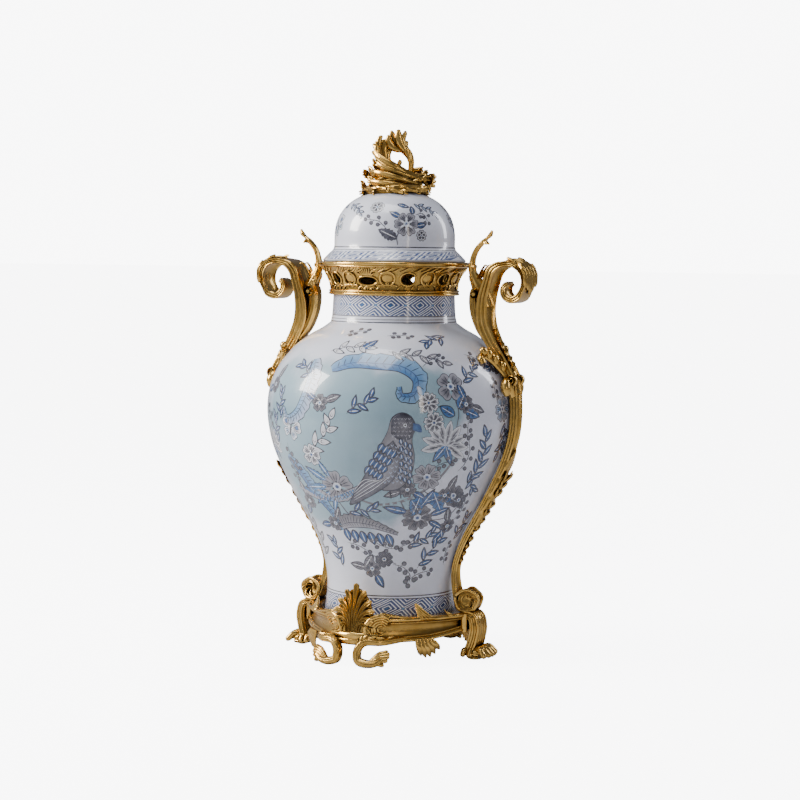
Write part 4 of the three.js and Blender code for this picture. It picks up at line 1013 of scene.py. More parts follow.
def hole_at(i):
    """The angle, height, half width in degrees and half height of one opening."""
    angle = -90 + i * 360 / COLLAR_HOLES
    wide, tall, z = (11.5, 5.2, HOLE_Z - 2) if i % 5 == 0 else (8.6, 7.2, HOLE_Z)
    return angle, z, math.degrees(wide / float(cavetto(z))), tall


collar = Casting()
band_loop = [
    (73.6, BAND_Z), (74.9, BAND_Z + 0.2), (76, BAND_Z + 1), (76.2, BAND_Z + 2.2), (75.4, BAND_Z + 3),
    (75, BAND_Z + 3.4), (75.9, BAND_Z + 4.3), (76, BAND_Z + 5), (75.2, BAND_Z + 5.9),
    (73.4, BAND_TOP + 0.2), (71.4, BAND_TOP + 0.2), (69, 424), (62.3, 424), (62.3, 421.4), (71.3, 421.4),
    (71.3, BAND_Z),
]
rim_loop = [
    (84.6, RIM_Z - 1.6), (86.4, RIM_Z - 1.2), (87.4, RIM_Z - 0.2), (86.9, RIM_Z + 0.7), (87, RIM_Z + 1.2),
    (87.95, RIM_Z + 2), (87.95, RIM_Z + 3.4), (87.2, RIM_Z + 4.7), (86.2, RIM_TOP), (83.9, RIM_TOP),
    (83.5, RIM_TOP - 0.6), (83.5, RIM_Z), (82.6, RIM_Z - 2),
]
RING_STEPS = 240
for loop in (band_loop, rim_loop):
    collar.skin(turned(loop, RING_STEPS)[0].reshape(len(loop), RING_STEPS, 3), capped=False)
steps_round, steps_up = 540, 28
wall_angles = np.arange(steps_round) * 360 / steps_round
wall_heights = np.linspace(BAND_TOP - 0.6, RIM_Z - 0.4, steps_up)
open_spot = np.zeros((steps_up - 1, steps_round), bool)
for i in range(COLLAR_HOLES):
    angle, z, wide, tall = hole_at(i)
    apart = (wall_angles + 0.25 - angle + 180) % 360 - 180
    up = (wall_heights[:-1] + wall_heights[1:])[:, None] / 2 - z
    open_spot |= (apart[None, :] / wide) ** 2 + (up / tall) ** 2 < 1
for out in (0.0, -3.2):
    first = collar.count
    collar.points.append(on_collar(wall_angles[None, :], wall_heights[:, None], out).reshape(-1, 3))
    collar.count += steps_up * steps_round
    for i, j in np.argwhere(~open_spot):
        k = (j + 1) % steps_round
        collar.faces.append([first + i * steps_round + j, first + i * steps_round + k,
                             first + (i + 1) * steps_round + k, first + (i + 1) * steps_round + j])
for i in range(COLLAR_HOLES):
    angle, z, wide, tall = hole_at(i)
    round_it = np.arange(49) * math.tau / 48
    edge = on_collar(angle + (wide + 0.5) * np.cos(round_it), z + (tall + 0.3) * np.sin(round_it), 0.3)
    collar.tube(edge, 1.15)
    inner_edge = on_collar(angle + (wide + 0.5) * np.cos(round_it),
                           z + (tall + 0.3) * np.sin(round_it), -3.0)
    collar.tube(inner_edge, 0.9)
    collar.skin([edge[:-1], edge[:-1] * [1.004, 1.004, 1], inner_edge[:-1] * [1.001, 1.001, 1],
                 inner_edge[:-1]], capped=False)
    # A smooth cushion stands between this opening and the next, framed by two scrolls with curled ends.
    cushion_angle = angle + 180 / COLLAR_HOLES
    rows = []
    for share in np.linspace(1, 0.02, 7):
        lift = 1.9 * (1 - share ** 3) - 0.3
        rows.append(on_collar(cushion_angle + 5.6 * share * np.cos(round_it[:-1]),
                              HOLE_Z + 0.5 + 5.6 * share * np.sin(round_it[:-1]), lift))
    collar.skin(rows)
    for hand in (1, -1):
        ramp = np.linspace(0, 1, 30)
        turn = math.pi * (0.62 - 1.42 * ramp)
        shrink = 1 - 0.75 * np.clip((ramp - 0.7) / 0.3, 0, 1)
        scroll = on_collar(cushion_angle + hand * (6.4 * np.cos(turn) * shrink + 1.3 * (1 - shrink)),
                           HOLE_Z + 0.5 + 8.0 * np.sin(turn) * shrink - 3.4 * (1 - shrink), 1.0)
        collar.tube(scroll, 0.65 + 0.7 * np.sin(math.pi * ramp) ** 0.6)
        wave = on_collar(cushion_angle + hand * np.linspace(2, 8.6, 12),
                         BAND_TOP + 3 + 2.6 * np.sin(np.linspace(0, 2.6, 12)), 0.8)
        collar.tube(wave, np.linspace(0.6, 1.3, 12))
    # Slanting strokes under the rim, like water thrown to one side, and small leaves over the foot band.
    for k in range(5):
        start = angle + 4 + 6.1 * k
        ramp = np.linspace(0, 1, 10)
        collar.tube(on_collar(start + 7 * ramp, RIM_Z - 6.3 + 5.0 * ramp ** 1.6, 0.9),
                    0.35 + 0.75 * np.sin(math.pi * (0.1 + 0.85 * ramp)))
    for k in range(4):
        start = angle - 9 + 6 * k
        ramp = np.linspace(0, 1, 9)
        collar.tube(on_collar(start + 4.6 * ramp, BAND_TOP + 0.9 + 3.6 * np.sin(math.pi * ramp * 0.75),
                              0.7), 1.15 - 0.7 * ramp)
    if i % 5 == 0:
        for k in range(-4, 5):
            ramp = np.linspace(0, 1, 8)
            upper = on_collar(angle + k * (1.1 + 0.9 * ramp),
                              z + tall + 1.4 + (9.4 - 0.45 * k * k) * ramp, 1.2)
            lower = on_collar(angle + k * (1.4 + 0.6 * ramp),
                              z - tall - 1.2 - (4.6 - 0.2 * k * k) * ramp, 1.0)
            collar.tube(upper, 1.25 - 0.75 * ramp)
            collar.tube(lower, 1.0 - 0.5 * ramp)
collar.piece("collar_casting", "collar")

# The two handles. Each is a fluted gilt bronze strap that rolls up at its foot, follows the jar's belly,
# swings out over the shoulder and curls into a leafy scroll. A second strap inside it meets the collar.
ROLL_X, ROLL_Z, ROLL_RADIUS = 100, 68.2, 15
STRAP_GAP, STRAP_WIDTH, STRAP_THICKNESS = 2.4, 17, 9.5
SCROLL_RADIUS, SCROLL_WIDTH, SCROLL_X, SCROLL_Z = 28, 40, 149, 435
ACROSS = (0, 1, 0)


def beside_jar(z, off, angle=0.0):
    """The point beside the jar at a height and an angle that stands off its surface."""
    low, high = np.interp([z - 2, z + 2], jar_outline[:, 1], jar_outline[:, 0])
    out, up = 4 / math.hypot(4, high - low), -(high - low) / math.hypot(4, high - low)
    radius = np.interp(z, jar_outline[:, 1], jar_outline[:, 0]) + off * out
    turn = math.radians(angle)
    return np.array([radius * math.cos(turn), radius * math.sin(turn), z + off * up])


def from_neck(out, up, width, thickness):
    """A station of a strap, measured from where the neck starts."""
    return (NECK_RADIUS + out, 0, NECK_HEIGHT + up, width, thickness)


arm = []
for i in range(14):
    turns = 1.02 * (1 - i / 14)
    angle = math.pi + math.tau * turns
    radius = (ROLL_RADIUS - 2.2) * (1 - 0.42 * turns)
    x, z = ROLL_X + radius * math.cos(angle), ROLL_Z + radius * math.sin(angle)
    arm.append((x, 0, z, 21 - 0.6 * (x - ROLL_X), 4.4))
for i in range(7):
    share = i / 6
    thick = mix(0.72, 1.1, share) * STRAP_THICKNESS
    place = beside_jar(mix(ROLL_Z + 33, 301.6, share), STRAP_GAP + thick / 2)
    arm.append((*place, mix(0.75, 1, share) * STRAP_WIDTH, thick))
capital = beside_jar(323, STRAP_GAP + STRAP_THICKNESS / 2 + 3)
arm.append((*capital, 1.3 * STRAP_WIDTH, 1.2 * STRAP_THICKNESS))
arm.extend([
    from_neck(65.9, -42.2, 21.3, 11.4), from_neck(51.9, -20.2, 24.6, 13.3), from_neck(42.6, 1.9, 28, 15.2),
    from_neck(41.9, 25.9, 32.3, 13.3),
])
for i in range(15):
    turns = 1.14 * i / 14
    angle = math.pi - math.tau * turns
    radius = SCROLL_RADIUS * (1 - turns / 1.48)
    width = mix(0.85, 1, turns / 0.3) if turns < 0.3 else mix(1, 0.55, (turns - 0.3) / 0.8)
    sunk = min(1.0, max(0.0, turns - 0.45) / 0.3)
    arm.append((SCROLL_X + radius * math.cos(angle), 0, SCROLL_Z + radius * math.sin(angle) - 6 * sunk,
                width * SCROLL_WIDTH, mix(1.15, 0.6, turns / 1.14) * STRAP_THICKNESS))
STEPS = 7
arm_path, arm_width, arm_thickness = stations_path(arm, STEPS * (len(arm) - 1) + 1)
arm_out = bar_axes(arm_path, ACROSS)[1]
arm_back = arm_path + arm_out * arm_thickness[:, None] * 0.42


def arm_spot(z):
    """Where on the arm's rising part a height is reached."""
    rising_part = slice(14 * STEPS, 26 * STEPS)
    return 14 * STEPS + int(np.argmin(np.abs(arm_path[rising_part, 2] - z)))


def over_shoulder(spots, hand):
    """Points over the shoulder, from shares of the climb, angles to one side and distances off the jar."""
    return [beside_jar(mix(BELLY_HEIGHT, NECK_HEIGHT, climb), off, hand * angle)
            for climb, angle, off in spots]


# No leaf stands out past the outer side of the scroll.
HANDLE_REACH = 171.2


def make_handle(name, stands_for, turn):
    """The right handle, turned about the jar's axis to where it is wanted."""
    handle = Casting()
    scroll = 26 * STEPS
    # The strap is thinner where leafage lies over its outer side.
    under = np.interp(np.arange(len(arm_path)), [scroll + 9, scroll + 16, scroll + 50, scroll + 56],
                      [0, 1, 1, 0])
    thinned = arm_path + arm_out * (arm_thickness * 0.17 * under)[:, None]
    handle.bar(thinned, arm_width, arm_thickness * (1 - 0.34 * under), ACROSS, TROUGH)
    # Leafage lies over the scroll's crown: ribbed lobes side by side that end one after another.
    first, last = scroll + 16, scroll + 51
    shell = arm_path[first:last] - arm_out[first:last] * (arm_thickness[first:last, None] * 0.18)
    half_width = arm_width[first:last] * 0.46
    for spread in (-1, -0.5, 0, 0.5, 1):
        stop = int(35 - 5 * abs(spread))
        start = int(5 * abs(spread))
        share = np.linspace(0, 1, stop - start)
        grown = np.clip((np.arange(start, stop) - start) / 12, 0.1, 1)
        lift = 0.2 + 0.5 * (1 - abs(spread)) + 1.2 * np.clip((share - 0.8) / 0.2, 0, 1) ** 1.5
        path = shell[start:stop] - arm_out[first + start:first + stop] * lift[:, None]
        path[:, 1] += spread * half_width[start:stop] * (0.55 + 0.45 * grown)
        path[:, 0] = np.minimum(path[:, 0], HANDLE_REACH - 2.7)
        widths = 7.8 * (0.25 + 0.75 * grown) * np.interp(share, [0, 0.85, 0.95, 1], [1, 1.1, 0.85, 0.35])
        handle.bar(path, widths, np.interp(share, [0, 0.2, 0.9, 1], [1.2, 5.4, 5.6, 2.4]), (0, -1, 0),
                   GADROON)
    for hand in (1, -1):
        for k in range(3):
            i = first + 6 + 9 * k
            rim_spot = arm_path[i] - arm_out[i] * (arm_thickness[i] * 0.42)
            rim_spot = rim_spot + [0, hand * arm_width[i] * 0.42, 0]
            run = arm_path[i + 1] - arm_path[i]
            run /= np.linalg.norm(run)
            tip = rim_spot + run * 6.4 + np.array([0, hand * 3.2, 0]) + arm_out[i] * (3.4 - 0.9 * k)
            lobe = smooth_curve([rim_spot - run * 3.4, mix(rim_spot, tip, 0.55) - arm_out[i] * 0.8, tip], 8)
            lobe[:, 0] = np.minimum(lobe[:, 0], HANDLE_REACH - 2)
            handle.bar(lobe, [5.4, 6, 6.2, 6, 5.2, 4.2, 3, 1.2], [3.4, 3.6, 3.6, 3.4, 3, 2.6, 2, 1],
                       (0, -1, 0), GADROON)
    # A leaf collar clasps the strap, and a toothed leaf runs down its outer edge from there.
    for z in (226, 208):
        i = arm_spot(z)
        part = slice(i - 11, i + 5)
        handle.foliage(arm_back[part][::-1] + arm_out[part][::-1] * 0.9, np.linspace(17, 12, 16) * 1.3,
                       ACROSS, 3, depth=0.3, relief=-1.5, thickness=2.6, cup=2.4)
    for k in range(11):
        share = k / 10
        i = arm_spot(mix(218, 112, share))
        size = mix(12.5, 4.6, share ** 0.7)
        root = arm_back[i] - arm_out[i] * 2
        climb = np.array([0, 0, 1.0])
        for hand, reach in ((0, 1.0), (1, 0.62), (-1, 0.62)):
            tip = root + arm_out[i] * (size * reach + 1.6) + climb * size * 0.5 + [0, hand * size * 0.75, 0]
            bend = mix(root, tip, 0.6) + arm_out[i] * size * 0.14 - climb * size * 0.3
            path = smooth_curve([root - climb * size * 0.9, bend, tip], 9)
            handle.bar(path, size * np.array([0.7, 0.8, 0.85, 0.85, 0.8, 0.68, 0.5, 0.34, 0.14]),
                       np.linspace(4.4, 1.2, 9), ACROSS, GADROON)
    # A leaf climbs the outer side between the belly and the neck, its lobes standing proud.
    low, high = arm_spot(331), arm_spot(383)
    climb_part = slice(low, high)
    climb_widths = 13 * np.sin(math.pi * (0.22 + 0.76 * np.linspace(0, 1, high - low)))
    handle.foliage(arm_back[climb_part] + arm_out[climb_part] * 0.6, climb_widths, ACROSS, 6,
                   depth=0.45, relief=1.5, thickness=2.8, cup=1.8)
    # A pair of small rolls stands out on both sides where the strap leaves the belly.
    middle = beside_jar(320.5, STRAP_GAP + STRAP_THICKNESS)
    ramp = np.linspace(0, 1, 40)
    for hand in (1, -1):
        radius = 6.2 * (1 - 0.8 * ramp)
        angle = math.radians(-60) + 1.7 * math.tau * ramp
        coil = np.stack([middle[0] + radius * np.cos(angle), np.full(40, hand * 11.5),
                         middle[2] + radius * np.sin(angle)], 1)
        handle.bar(coil, np.linspace(7.4, 6.2, 40) + 3.4 * ramp, 2.6, ACROSS, ROUND)
        # The shoulder leaf runs from the strap up over the jar and curls to a bud, with lobes along its edge.
        wing = [(0.22, 1.5, 7), (0.38, 3.5, 6.5), (0.5, 7, 6), (0.585, 11, 6), (0.615, 14.5, 6.4),
                (0.575, 17.6, 6.4), (0.52, 17.4, 6.6)]
        path = smooth_curve(over_shoulder(wing, hand), 40)
        outward = path * [1, 1, 0] / np.linalg.norm(path[:, :2], axis=1)[:, None]
        shares = [0, 0.4, 0.75, 0.9, 1]
        handle.bar(path, np.interp(ramp, shares, [12, 9, 7, 10, 6]),
                   np.interp(ramp, shares, [8, 9, 8, 9.5, 5]), np.cross(outward, np.gradient(path, axis=0)),
                   RIBBED)
        for k in range(5):
            i = 5 + 5 * k
            run = path[i + 1] - path[i - 1]
            run /= np.linalg.norm(run)
            lobe_side = np.cross(outward[i], run) * hand
            tip = path[i] + lobe_side * (8.6 - 0.6 * k) + run * 6.5 + outward[i] * 0.5
            lobe = smooth_curve([path[i] - run * 4, mix(path[i], tip, 0.6) + outward[i] * 3.4, tip], 7)
            handle.bar(lobe, [8, 9.4, 10, 9.8, 9, 7.2, 3.6], [6, 7, 7.4, 7.2, 6.6, 5.4, 3],
                       np.cross(outward[i], run + lobe_side), ROUND)
        knob = over_shoulder([(0.16, 2.5, 7), (0.24, 4.5, 8), (0.31, 6.5, 8), (0.25, 8.4, 7.5),
                              (0.17, 7.6, 7)], hand)
        knob_radii = np.interp(np.linspace(0, 1, 22), [0, 0.5, 0.8, 1], [4.5, 5.2, 5.8, 3.4])
        handle.tube(smooth_curve(knob, 22), knob_radii)
    # The inner strap leaves a small volute by the collar and runs down into the arm.
    strap = [from_neck(34, 44, 18, 5), from_neck(29, 37, 19, 11), from_neck(28.5, 25, 19, 13),
             from_neck(31, 10, 18, 13), from_neck(38, -7, 17, 12), from_neck(48, -21, 15, 9),
             from_neck(56, -31, 14, 7)]
    path, widths, thicknesses = stations_path(strap, 50)
    handle.bar(path, widths, thicknesses, ACROSS, FLUTED)
    coil_angle = math.radians(100) - 1.5 * math.tau * ramp
    coil_radius = 6.4 * (1 - 0.78 * ramp)
    coil = np.stack([NECK_RADIUS + 31.5 + coil_radius * np.cos(coil_angle), 0 * ramp,
                     NECK_HEIGHT + 34 + coil_radius * np.sin(coil_angle)], 1)
    handle.bar(coil, 27 + 3 * ramp, 2.8, ACROSS, ROUND)
    handle.tube([(NECK_RADIUS + 31.5, y, NECK_HEIGHT + 34) for y in (-14.6, 0, 14.6)], 2.2)
    # The sprig rises past the collar's rim and ends in a bud, with a small leaf on its way.
    sprig = [from_neck(46, 20, 20, 15), from_neck(40, 34, 19, 17), from_neck(31, 48, 17, 16),
             from_neck(24.5, 61, 12, 11), from_neck(25, 74, 9.5, 8.4), from_neck(29.5, 85, 9, 7.6),
             from_neck(37, 93.5, 9, 7), from_neck(42, 98, 6.4, 4.6), from_neck(46, 102, 8, 6.4),
             from_neck(48, 107, 3.6, 3)]
    path, widths, thicknesses = stations_path(sprig, 64)
    handle.bar(path, widths, thicknesses, ACROSS, RIBBED)
    for hand in (1, -1):
        leaf_path = smooth_curve([(NECK_RADIUS + 34, 0, NECK_HEIGHT + 93),
                                  (NECK_RADIUS + 39, hand * 2.5, NECK_HEIGHT + 94),
                                  (NECK_RADIUS + 43, hand * 4.5, NECK_HEIGHT + 91)], 9)
        handle.bar(leaf_path, [3, 4.4, 5, 5, 4.4, 4.6, 4, 3, 1.4], 2.4, (0, 0.5, 1), RIBBED)
        spur = smooth_curve([(NECK_RADIUS + 33, hand * 3, NECK_HEIGHT + 52),
                             (NECK_RADIUS + 38, hand * 5, NECK_HEIGHT + 62),
                             (NECK_RADIUS + 43, hand * 6.5, NECK_HEIGHT + 67.5),
                             (NECK_RADIUS + 46, hand * 7, NECK_HEIGHT + 66)], 14)
        handle.bar(spur, np.linspace(7, 2, 14), np.linspace(4, 1.6, 14), ACROSS, RIBBED)
        for k in range(4):
            low_z = NECK_HEIGHT + 30 + 6.5 * k
            root = np.array([NECK_RADIUS + 36 - 2.6 * k, hand * 5.0, low_z])
            tip = root + np.array([-7.5 + 0.8 * k, hand * 1.5, 5.5])
            handle.bar(smooth_curve([root - [0, 0, 4], mix(root, tip, 0.6) + [0, hand * 1.4, 0], tip], 8),
                       [5, 5.6, 5.8, 5.4, 4.6, 3.6, 2.4, 1], 3, (0.5, 0, 1), RIBBED)
    lug = [(NECK_RADIUS + 14, 0, 453.5), (NECK_RADIUS + 20, 0, 453.5), (NECK_RADIUS + 28, 0, 452)]
    handle.bar(lug, [9, 10, 11], [2.4, 3, 6], ACROSS, ROUND)
    # Each end of the roll opens as a cup with a thick uneven lip and a dark hollow.
    for hand in (1, -1):
        rim_turn = np.arange(41) * math.tau / 40
        wobble = 1 + 0.035 * np.sin(5 * rim_turn) + 0.025 * np.sin(3 * rim_turn + 1)
        edge = hand * (10.3 - 0.3 * ROLL_RADIUS * np.cos(rim_turn))
        lip = np.stack([ROLL_X + 12.6 * wobble * np.cos(rim_turn), edge,
                        ROLL_Z + 12.2 * wobble * np.sin(rim_turn)], 1)
        handle.tube(lip, 1.9)
        deep = np.stack([ROLL_X + 7.2 * np.cos(rim_turn + 0.4), edge * 0.62,
                         ROLL_Z + 7.0 * np.sin(rim_turn + 0.4)], 1)
        middle_rows = [lip[:-1], mix(lip, deep, 0.35)[:-1] - [0, hand * 2.6, 0],
                       mix(lip, deep, 0.7)[:-1] - [0, hand * 3.4, 0], deep[:-1] - [0, hand * 2, 0],
                       [(ROLL_X, hand * 3.0, ROLL_Z)] * 40]
        middle_rows = [np.asarray(row) for row in middle_rows]
        handle.skin(middle_rows + [row - [0, hand * 0.4, 0] for row in middle_rows[::-1]], capped=False)
        for k in range(7):
            start = math.tau * k / 7
            fold_turn = start + np.linspace(0, 1.1, 9)
            fold = np.stack([ROLL_X + np.linspace(11.5, 3, 9) * np.cos(fold_turn),
                             np.linspace(hand * 8.6, hand * 3.4, 9),
                             ROLL_Z + np.linspace(11.2, 3, 9) * np.sin(fold_turn)], 1)
            handle.tube(fold, np.linspace(1.2, 0.7, 9))
    handle.piece(name, stands_for, turn)


make_handle("right_handle", "handle_right", 0.0)
make_handle("left_handle", "handle_left", math.pi)

# The finial. It is one gilt bronze casting of swirling water-washed leaves, screwed down through the lid's
# crown: a low nest of forked leaves, a branch thrown across it and flame-like plumes that meet in an arch.
DOME_TOP = DOME_START + DOME_RISE
FINIAL_HEIGHT, FINIAL_RADIUS = 74, 40
FINIAL_TURN = math.radians(24)
finial = Casting()


def fork(path, sizes, side, tips, reach):
    """Splayed lobes at the end of a leaf, each curling up a little."""
    end, before = path[-1], path[-5]
    run = (end - before) / np.linalg.norm(end - before)
    sideways = np.cross(np.cross(run, side), run)
    sideways /= np.linalg.norm(sideways)
    lift = np.cross(run, sideways)
    lift *= np.sign(lift[2]) or 1
    for k, spread in enumerate(np.linspace(-1, 1, tips)):
        tip = (end + run * reach * (1 - 0.35 * spread ** 2) + sideways * spread * reach * 0.75
               + lift * reach * (0.22 + 0.1 * (k % 2)))
        root = end - run * reach * 0.7
        bend = mix(root, tip, 0.5) + lift * 0.5 + sideways * spread * 1.2
        lobe = smooth_curve([root, bend, mix(root, tip, 0.82) - lift * 0.6, tip], 9)
        profile = np.interp(np.linspace(0, 1, 9), [0, 0.45, 0.75, 0.92, 1], [0.62, 0.8, 0.62, 0.5, 0.2])
        finial.bar(lobe, sizes[0] * profile, sizes[1] * (0.4 + 0.6 * profile),
                   sideways * 0.3 + side / np.linalg.norm(side), GADROON)


def swirl(angles, radii, heights, width, thickness, bend=1.0, forks=(3, 3), count=30):
    """A fluted leaf that winds round the finial between two angles and two heights, with forked ends."""
    ramp = np.linspace(0, 1, count)
    angle = np.radians(mix(angles[0], angles[1], ramp)) + FINIAL_TURN
    radius = FINIAL_RADIUS * mix(radii[1], np.where(ramp < 0.5, radii[0], radii[2]), (2 * ramp - 1) ** 2)
    height = DOME_TOP + FINIAL_HEIGHT * mix(heights[0], heights[1], ramp ** bend)
    taper = 0.35 + 0.65 * np.sin(math.pi * np.minimum(1, 0.15 + 0.8 * ramp))
    path = np.stack([radius * np.cos(angle), radius * np.sin(angle), height], 1)
    side = np.stack([-path[:, 0], -path[:, 1], np.full(count, -2.2 * FINIAL_RADIUS)], 1)
    finial.bar(path, width * taper, thickness * taper, side, FLUTED)
    groove = path + bar_axes(path, side)[1] * thickness * taper[:, None] * 0.25
    finial.bar(groove, width * taper * 0.5, thickness * taper * 0.8, side, RIBBED)
    sizes = (width * 0.55, thickness * 0.55)
    if forks[0]:
        fork(path[::-1], sizes, side[0], forks[0], 0.85 * width)
    fork(path, sizes, side[-1], forks[1], 0.85 * width)


FLAME_STEPS = 26


def plume_path(points, depth):
    """A path through shares across the finial and up it, some way in front of its middle."""
    across = np.array([a for a, _ in points]) * FINIAL_RADIUS
    height = DOME_TOP + np.array([h for _, h in points]) * FINIAL_HEIGHT
    depth = np.broadcast_to(depth, len(points))
    cosine, sine = math.cos(FINIAL_TURN), math.sin(FINIAL_TURN)
    return smooth_curve(np.stack([across * cosine + depth * sine, across * sine - depth * cosine,
                                  height], 1), FLAME_STEPS)


FACING = np.array([math.sin(FINIAL_TURN), -math.cos(FINIAL_TURN), 0])


def flame(points, depth, widths, thickness, section=RIBBED):
    """A leaf that licks up like a flame and faces the front."""
    path = plume_path(points, depth)
    share = np.linspace(0, 1, FLAME_STEPS)
    width = np.interp(share, np.linspace(0, 1, len(widths)), widths)
    axis_side = np.cross(FACING, np.gradient(path, axis=0))
    finial.bar(path, width, thickness * (1 - 0.35 * share ** 3), axis_side, section)


mound = [(0.01, -10), (31, -10), (29.5, -4), (26, 4), (21, 9), (14.5, 16), (7, 22), (0.01, 25)]
MOUND_STEPS = 60
mound_points = turned([(r, DOME_TOP + z) for r, z in mound],
                      MOUND_STEPS)[0].reshape(len(mound), MOUND_STEPS, 3)
mound_waves = 1 + 0.06 * np.sin(9 * np.arange(MOUND_STEPS) * math.tau / MOUND_STEPS)
mound_points[:, :, :2] *= mound_waves[None, :, None]
finial.skin(mound_points, capped=False)
for k in range(2):
    # The same two tiers of leaves lie at the front and, turned round, at the back.
    turned_by = 180 * k
    swirl((-178 + turned_by, -6 + turned_by), (0.9, 0.78, 0.92), (-0.03, 0.05), 11, 7, forks=(5, 4))
    swirl((-150 + turned_by, -30 + turned_by), (0.82, 0.76, 0.86), (0.13, 0.0), 9, 7, forks=(4, 4))
    swirl((-172 + turned_by, -40 + turned_by), (0.72, 0.6, 0.8), (0.28, 0.1), 10, 7, bend=1.3, forks=(4, 3))
    swirl((-120 + turned_by, -8 + turned_by), (0.7, 0.56, 0.86), (0.12, 0.25), 8, 7, forks=(3, 4))
swirl((-164, 8), (0.6, 0.44, 1.04), (0.6, 0.13), 14, 9, bend=0.62, forks=(3, 4))
swirl((-150, -16), (0.58, 0.5, 0.92), (0.42, 0.17), 9, 7, bend=0.7, forks=(2, 3))
swirl((0, 170), (0.98, 0.54, 0.6), (0.16, 0.36), 13, 9, forks=(4, 3))
for k in range(13):
    start = -188 + 28 * k
    swirl((start, start + 27), (0.84, 0.88, 0.99), (0.04, -0.05 + 0.03 * (k % 3)), 5 + 2 * (k % 2), 4,
          forks=(0, 3), count=16)
arch = [(0.38, 0.2), (0.44, 0.34), (0.45, 0.46), (0.37, 0.57), (0.22, 0.66), (0.1, 0.78), (0.02, 0.9)]
flame(arch, 2, [6, 6.5, 7.5, 10, 11, 9, 3], 8)
flame([(0.4, 0.46), (0.34, 0.6), (0.2, 0.72), (0.21, 0.82), (0.27, 0.9), (0.25, 0.93)], 4,
      [4, 8, 9, 7, 5, 2.5], 6)
flame([(0.28, 0.62), (0.16, 0.72), (0.08, 0.84), (0.08, 0.92), (0.1, 0.95)], 6, [7, 9, 9, 6, 2.5], 6)
flame([(0.2, 0.66), (0.04, 0.74), (-0.07, 0.84), (-0.12, 0.91), (-0.13, 0.94)], -2, [7, 9, 8, 5, 2.5], 6)
flame([(0.2, 0.63), (0.0, 0.65), (-0.13, 0.7), (-0.2, 0.78), (-0.19, 0.84), (-0.15, 0.86)], 1,
      [6, 8, 10, 8, 6, 2.5], 7)
flame([(0.3, 0.56), (0.29, 0.68), (0.32, 0.76), (0.33, 0.78)], 1, [5, 6, 4, 2], 5)
flame([(-0.3, 0.42), (-0.44, 0.52), (-0.52, 0.63), (-0.49, 0.75), (-0.43, 0.83), (-0.38, 0.82)], 5,
      [8, 9, 9, 7, 5, 2.5], 6)
flame([(-0.24, 0.4), (-0.34, 0.52), (-0.37, 0.65), (-0.29, 0.76), (-0.24, 0.78)], -1, [8, 12, 12, 9, 3.5], 5)
flame([(-0.2, 0.46), (-0.24, 0.56), (-0.18, 0.66), (-0.06, 0.71), (0.06, 0.7)], -4, [6, 8, 9, 8, 5], 5)
flame([(0.06, 0.28), (0.09, 0.38), (0.12, 0.44), (0.13, 0.48)], 4, [5, 4, 6, 3], 5, GADROON)
flame([(0.42, 0.26), (0.54, 0.32), (0.66, 0.34), (0.72, 0.37)], -3, [6, 6, 6, 3], 5, GADROON)
flame([(-0.46, 0.3), (-0.36, 0.37), (-0.16, 0.34), (0.2, 0.24)], -8, [4, 7, 8, 6], 6)
finial.piece("finial_casting", "finial")

# The base. It is a gilt bronze casting with four bowed panels between the leaf fans at the front and the back
# and a fluted side leg under each handle. The jar's foot sits in its well. It stands on six scrolled feet.
CORNER_RADIUS, SIDE_SHARE, PLAN_POWER, PLAN_SOFTNESS = 103, 0.892, 1.4, 0.02
BASE_BOTTOM, BASE_TOP, END_LIFT = 26, 55, 8


def plan_radius(angle):
    """The radius of the base's plan, a square with bowed sides and soft corners on the axes."""
    def norm(cosine, sine):
        parts = [(part * part + PLAN_SOFTNESS) ** (PLAN_POWER / 2) for part in (cosine, sine)]
        return (parts[0] + parts[1]) ** (1 / PLAN_POWER)

    plain = norm(1, 0) / norm(np.cos(angle), np.sin(angle))
    plain_side = norm(1, 0) / norm(math.sqrt(0.5), math.sqrt(0.5))
    return CORNER_RADIUS * (1 - (1 - plain) / (1 - plain_side) * (1 - SIDE_SHARE))


def on_base(degrees, z, out=0.0):
    """Points on the outer side of the base at angles in degrees and heights."""
    angle = np.radians(degrees)
    radius = plan_radius(angle) + out
    return np.stack(np.broadcast_arrays(radius * np.cos(angle), radius * np.sin(angle),
                                        np.asarray(z, float)), -1)


def end_rise(degrees):
    """How far the lower edge rises towards the side legs."""
    return END_LIFT * np.cos(np.radians(degrees)) ** 8


base = Casting()
ring_angles = np.arange(RING_STEPS) * 360 / RING_STEPS
outer_rows = [
    (-3, 26, 1), (-0.8, 26.3, 1), (0.4, 27.4, 1), (0.6, 28.8, 1), (0, 30.2, 1), (-1.6, 31.2, 1),
    (-3, 31.6, 1), (-4.6, 33, 0.9), (-5.8, 36, 0.5), (-6.4, 40, 0.2), (-6.1, 44, 0), (-5, 47, 0),
    (-3.2, 48.9, 0), (-1.6, 49.4, 0), (0.2, 50, 0), (1.2, 51.2, 0), (1.3, 52.7, 0), (0.5, 54.1, 0),
    (-1.2, 54.8, 0), (-4, 55, 0),
]
rows = [on_base(ring_angles, z + lift * end_rise(ring_angles), out) for out, z, lift in outer_rows]
for radius, z in ((80.8, 55), (80.2, 54.2), (80.2, 43.7), (58.5, 43.7), (58, 43.2), (58, 38.2),
                  (58.5, 37.7)):
    turn = np.radians(ring_angles)
    rows.append(np.stack([radius * np.cos(turn), radius * np.sin(turn), np.full(RING_STEPS, float(z))], 1))
rows.append(on_base(ring_angles, 37.7, -11.5))
rows.append(on_base(ring_angles, 26 + end_rise(ring_angles), -10.5))
base.skin(rows, capped=False)
FAN_LOBES = 11


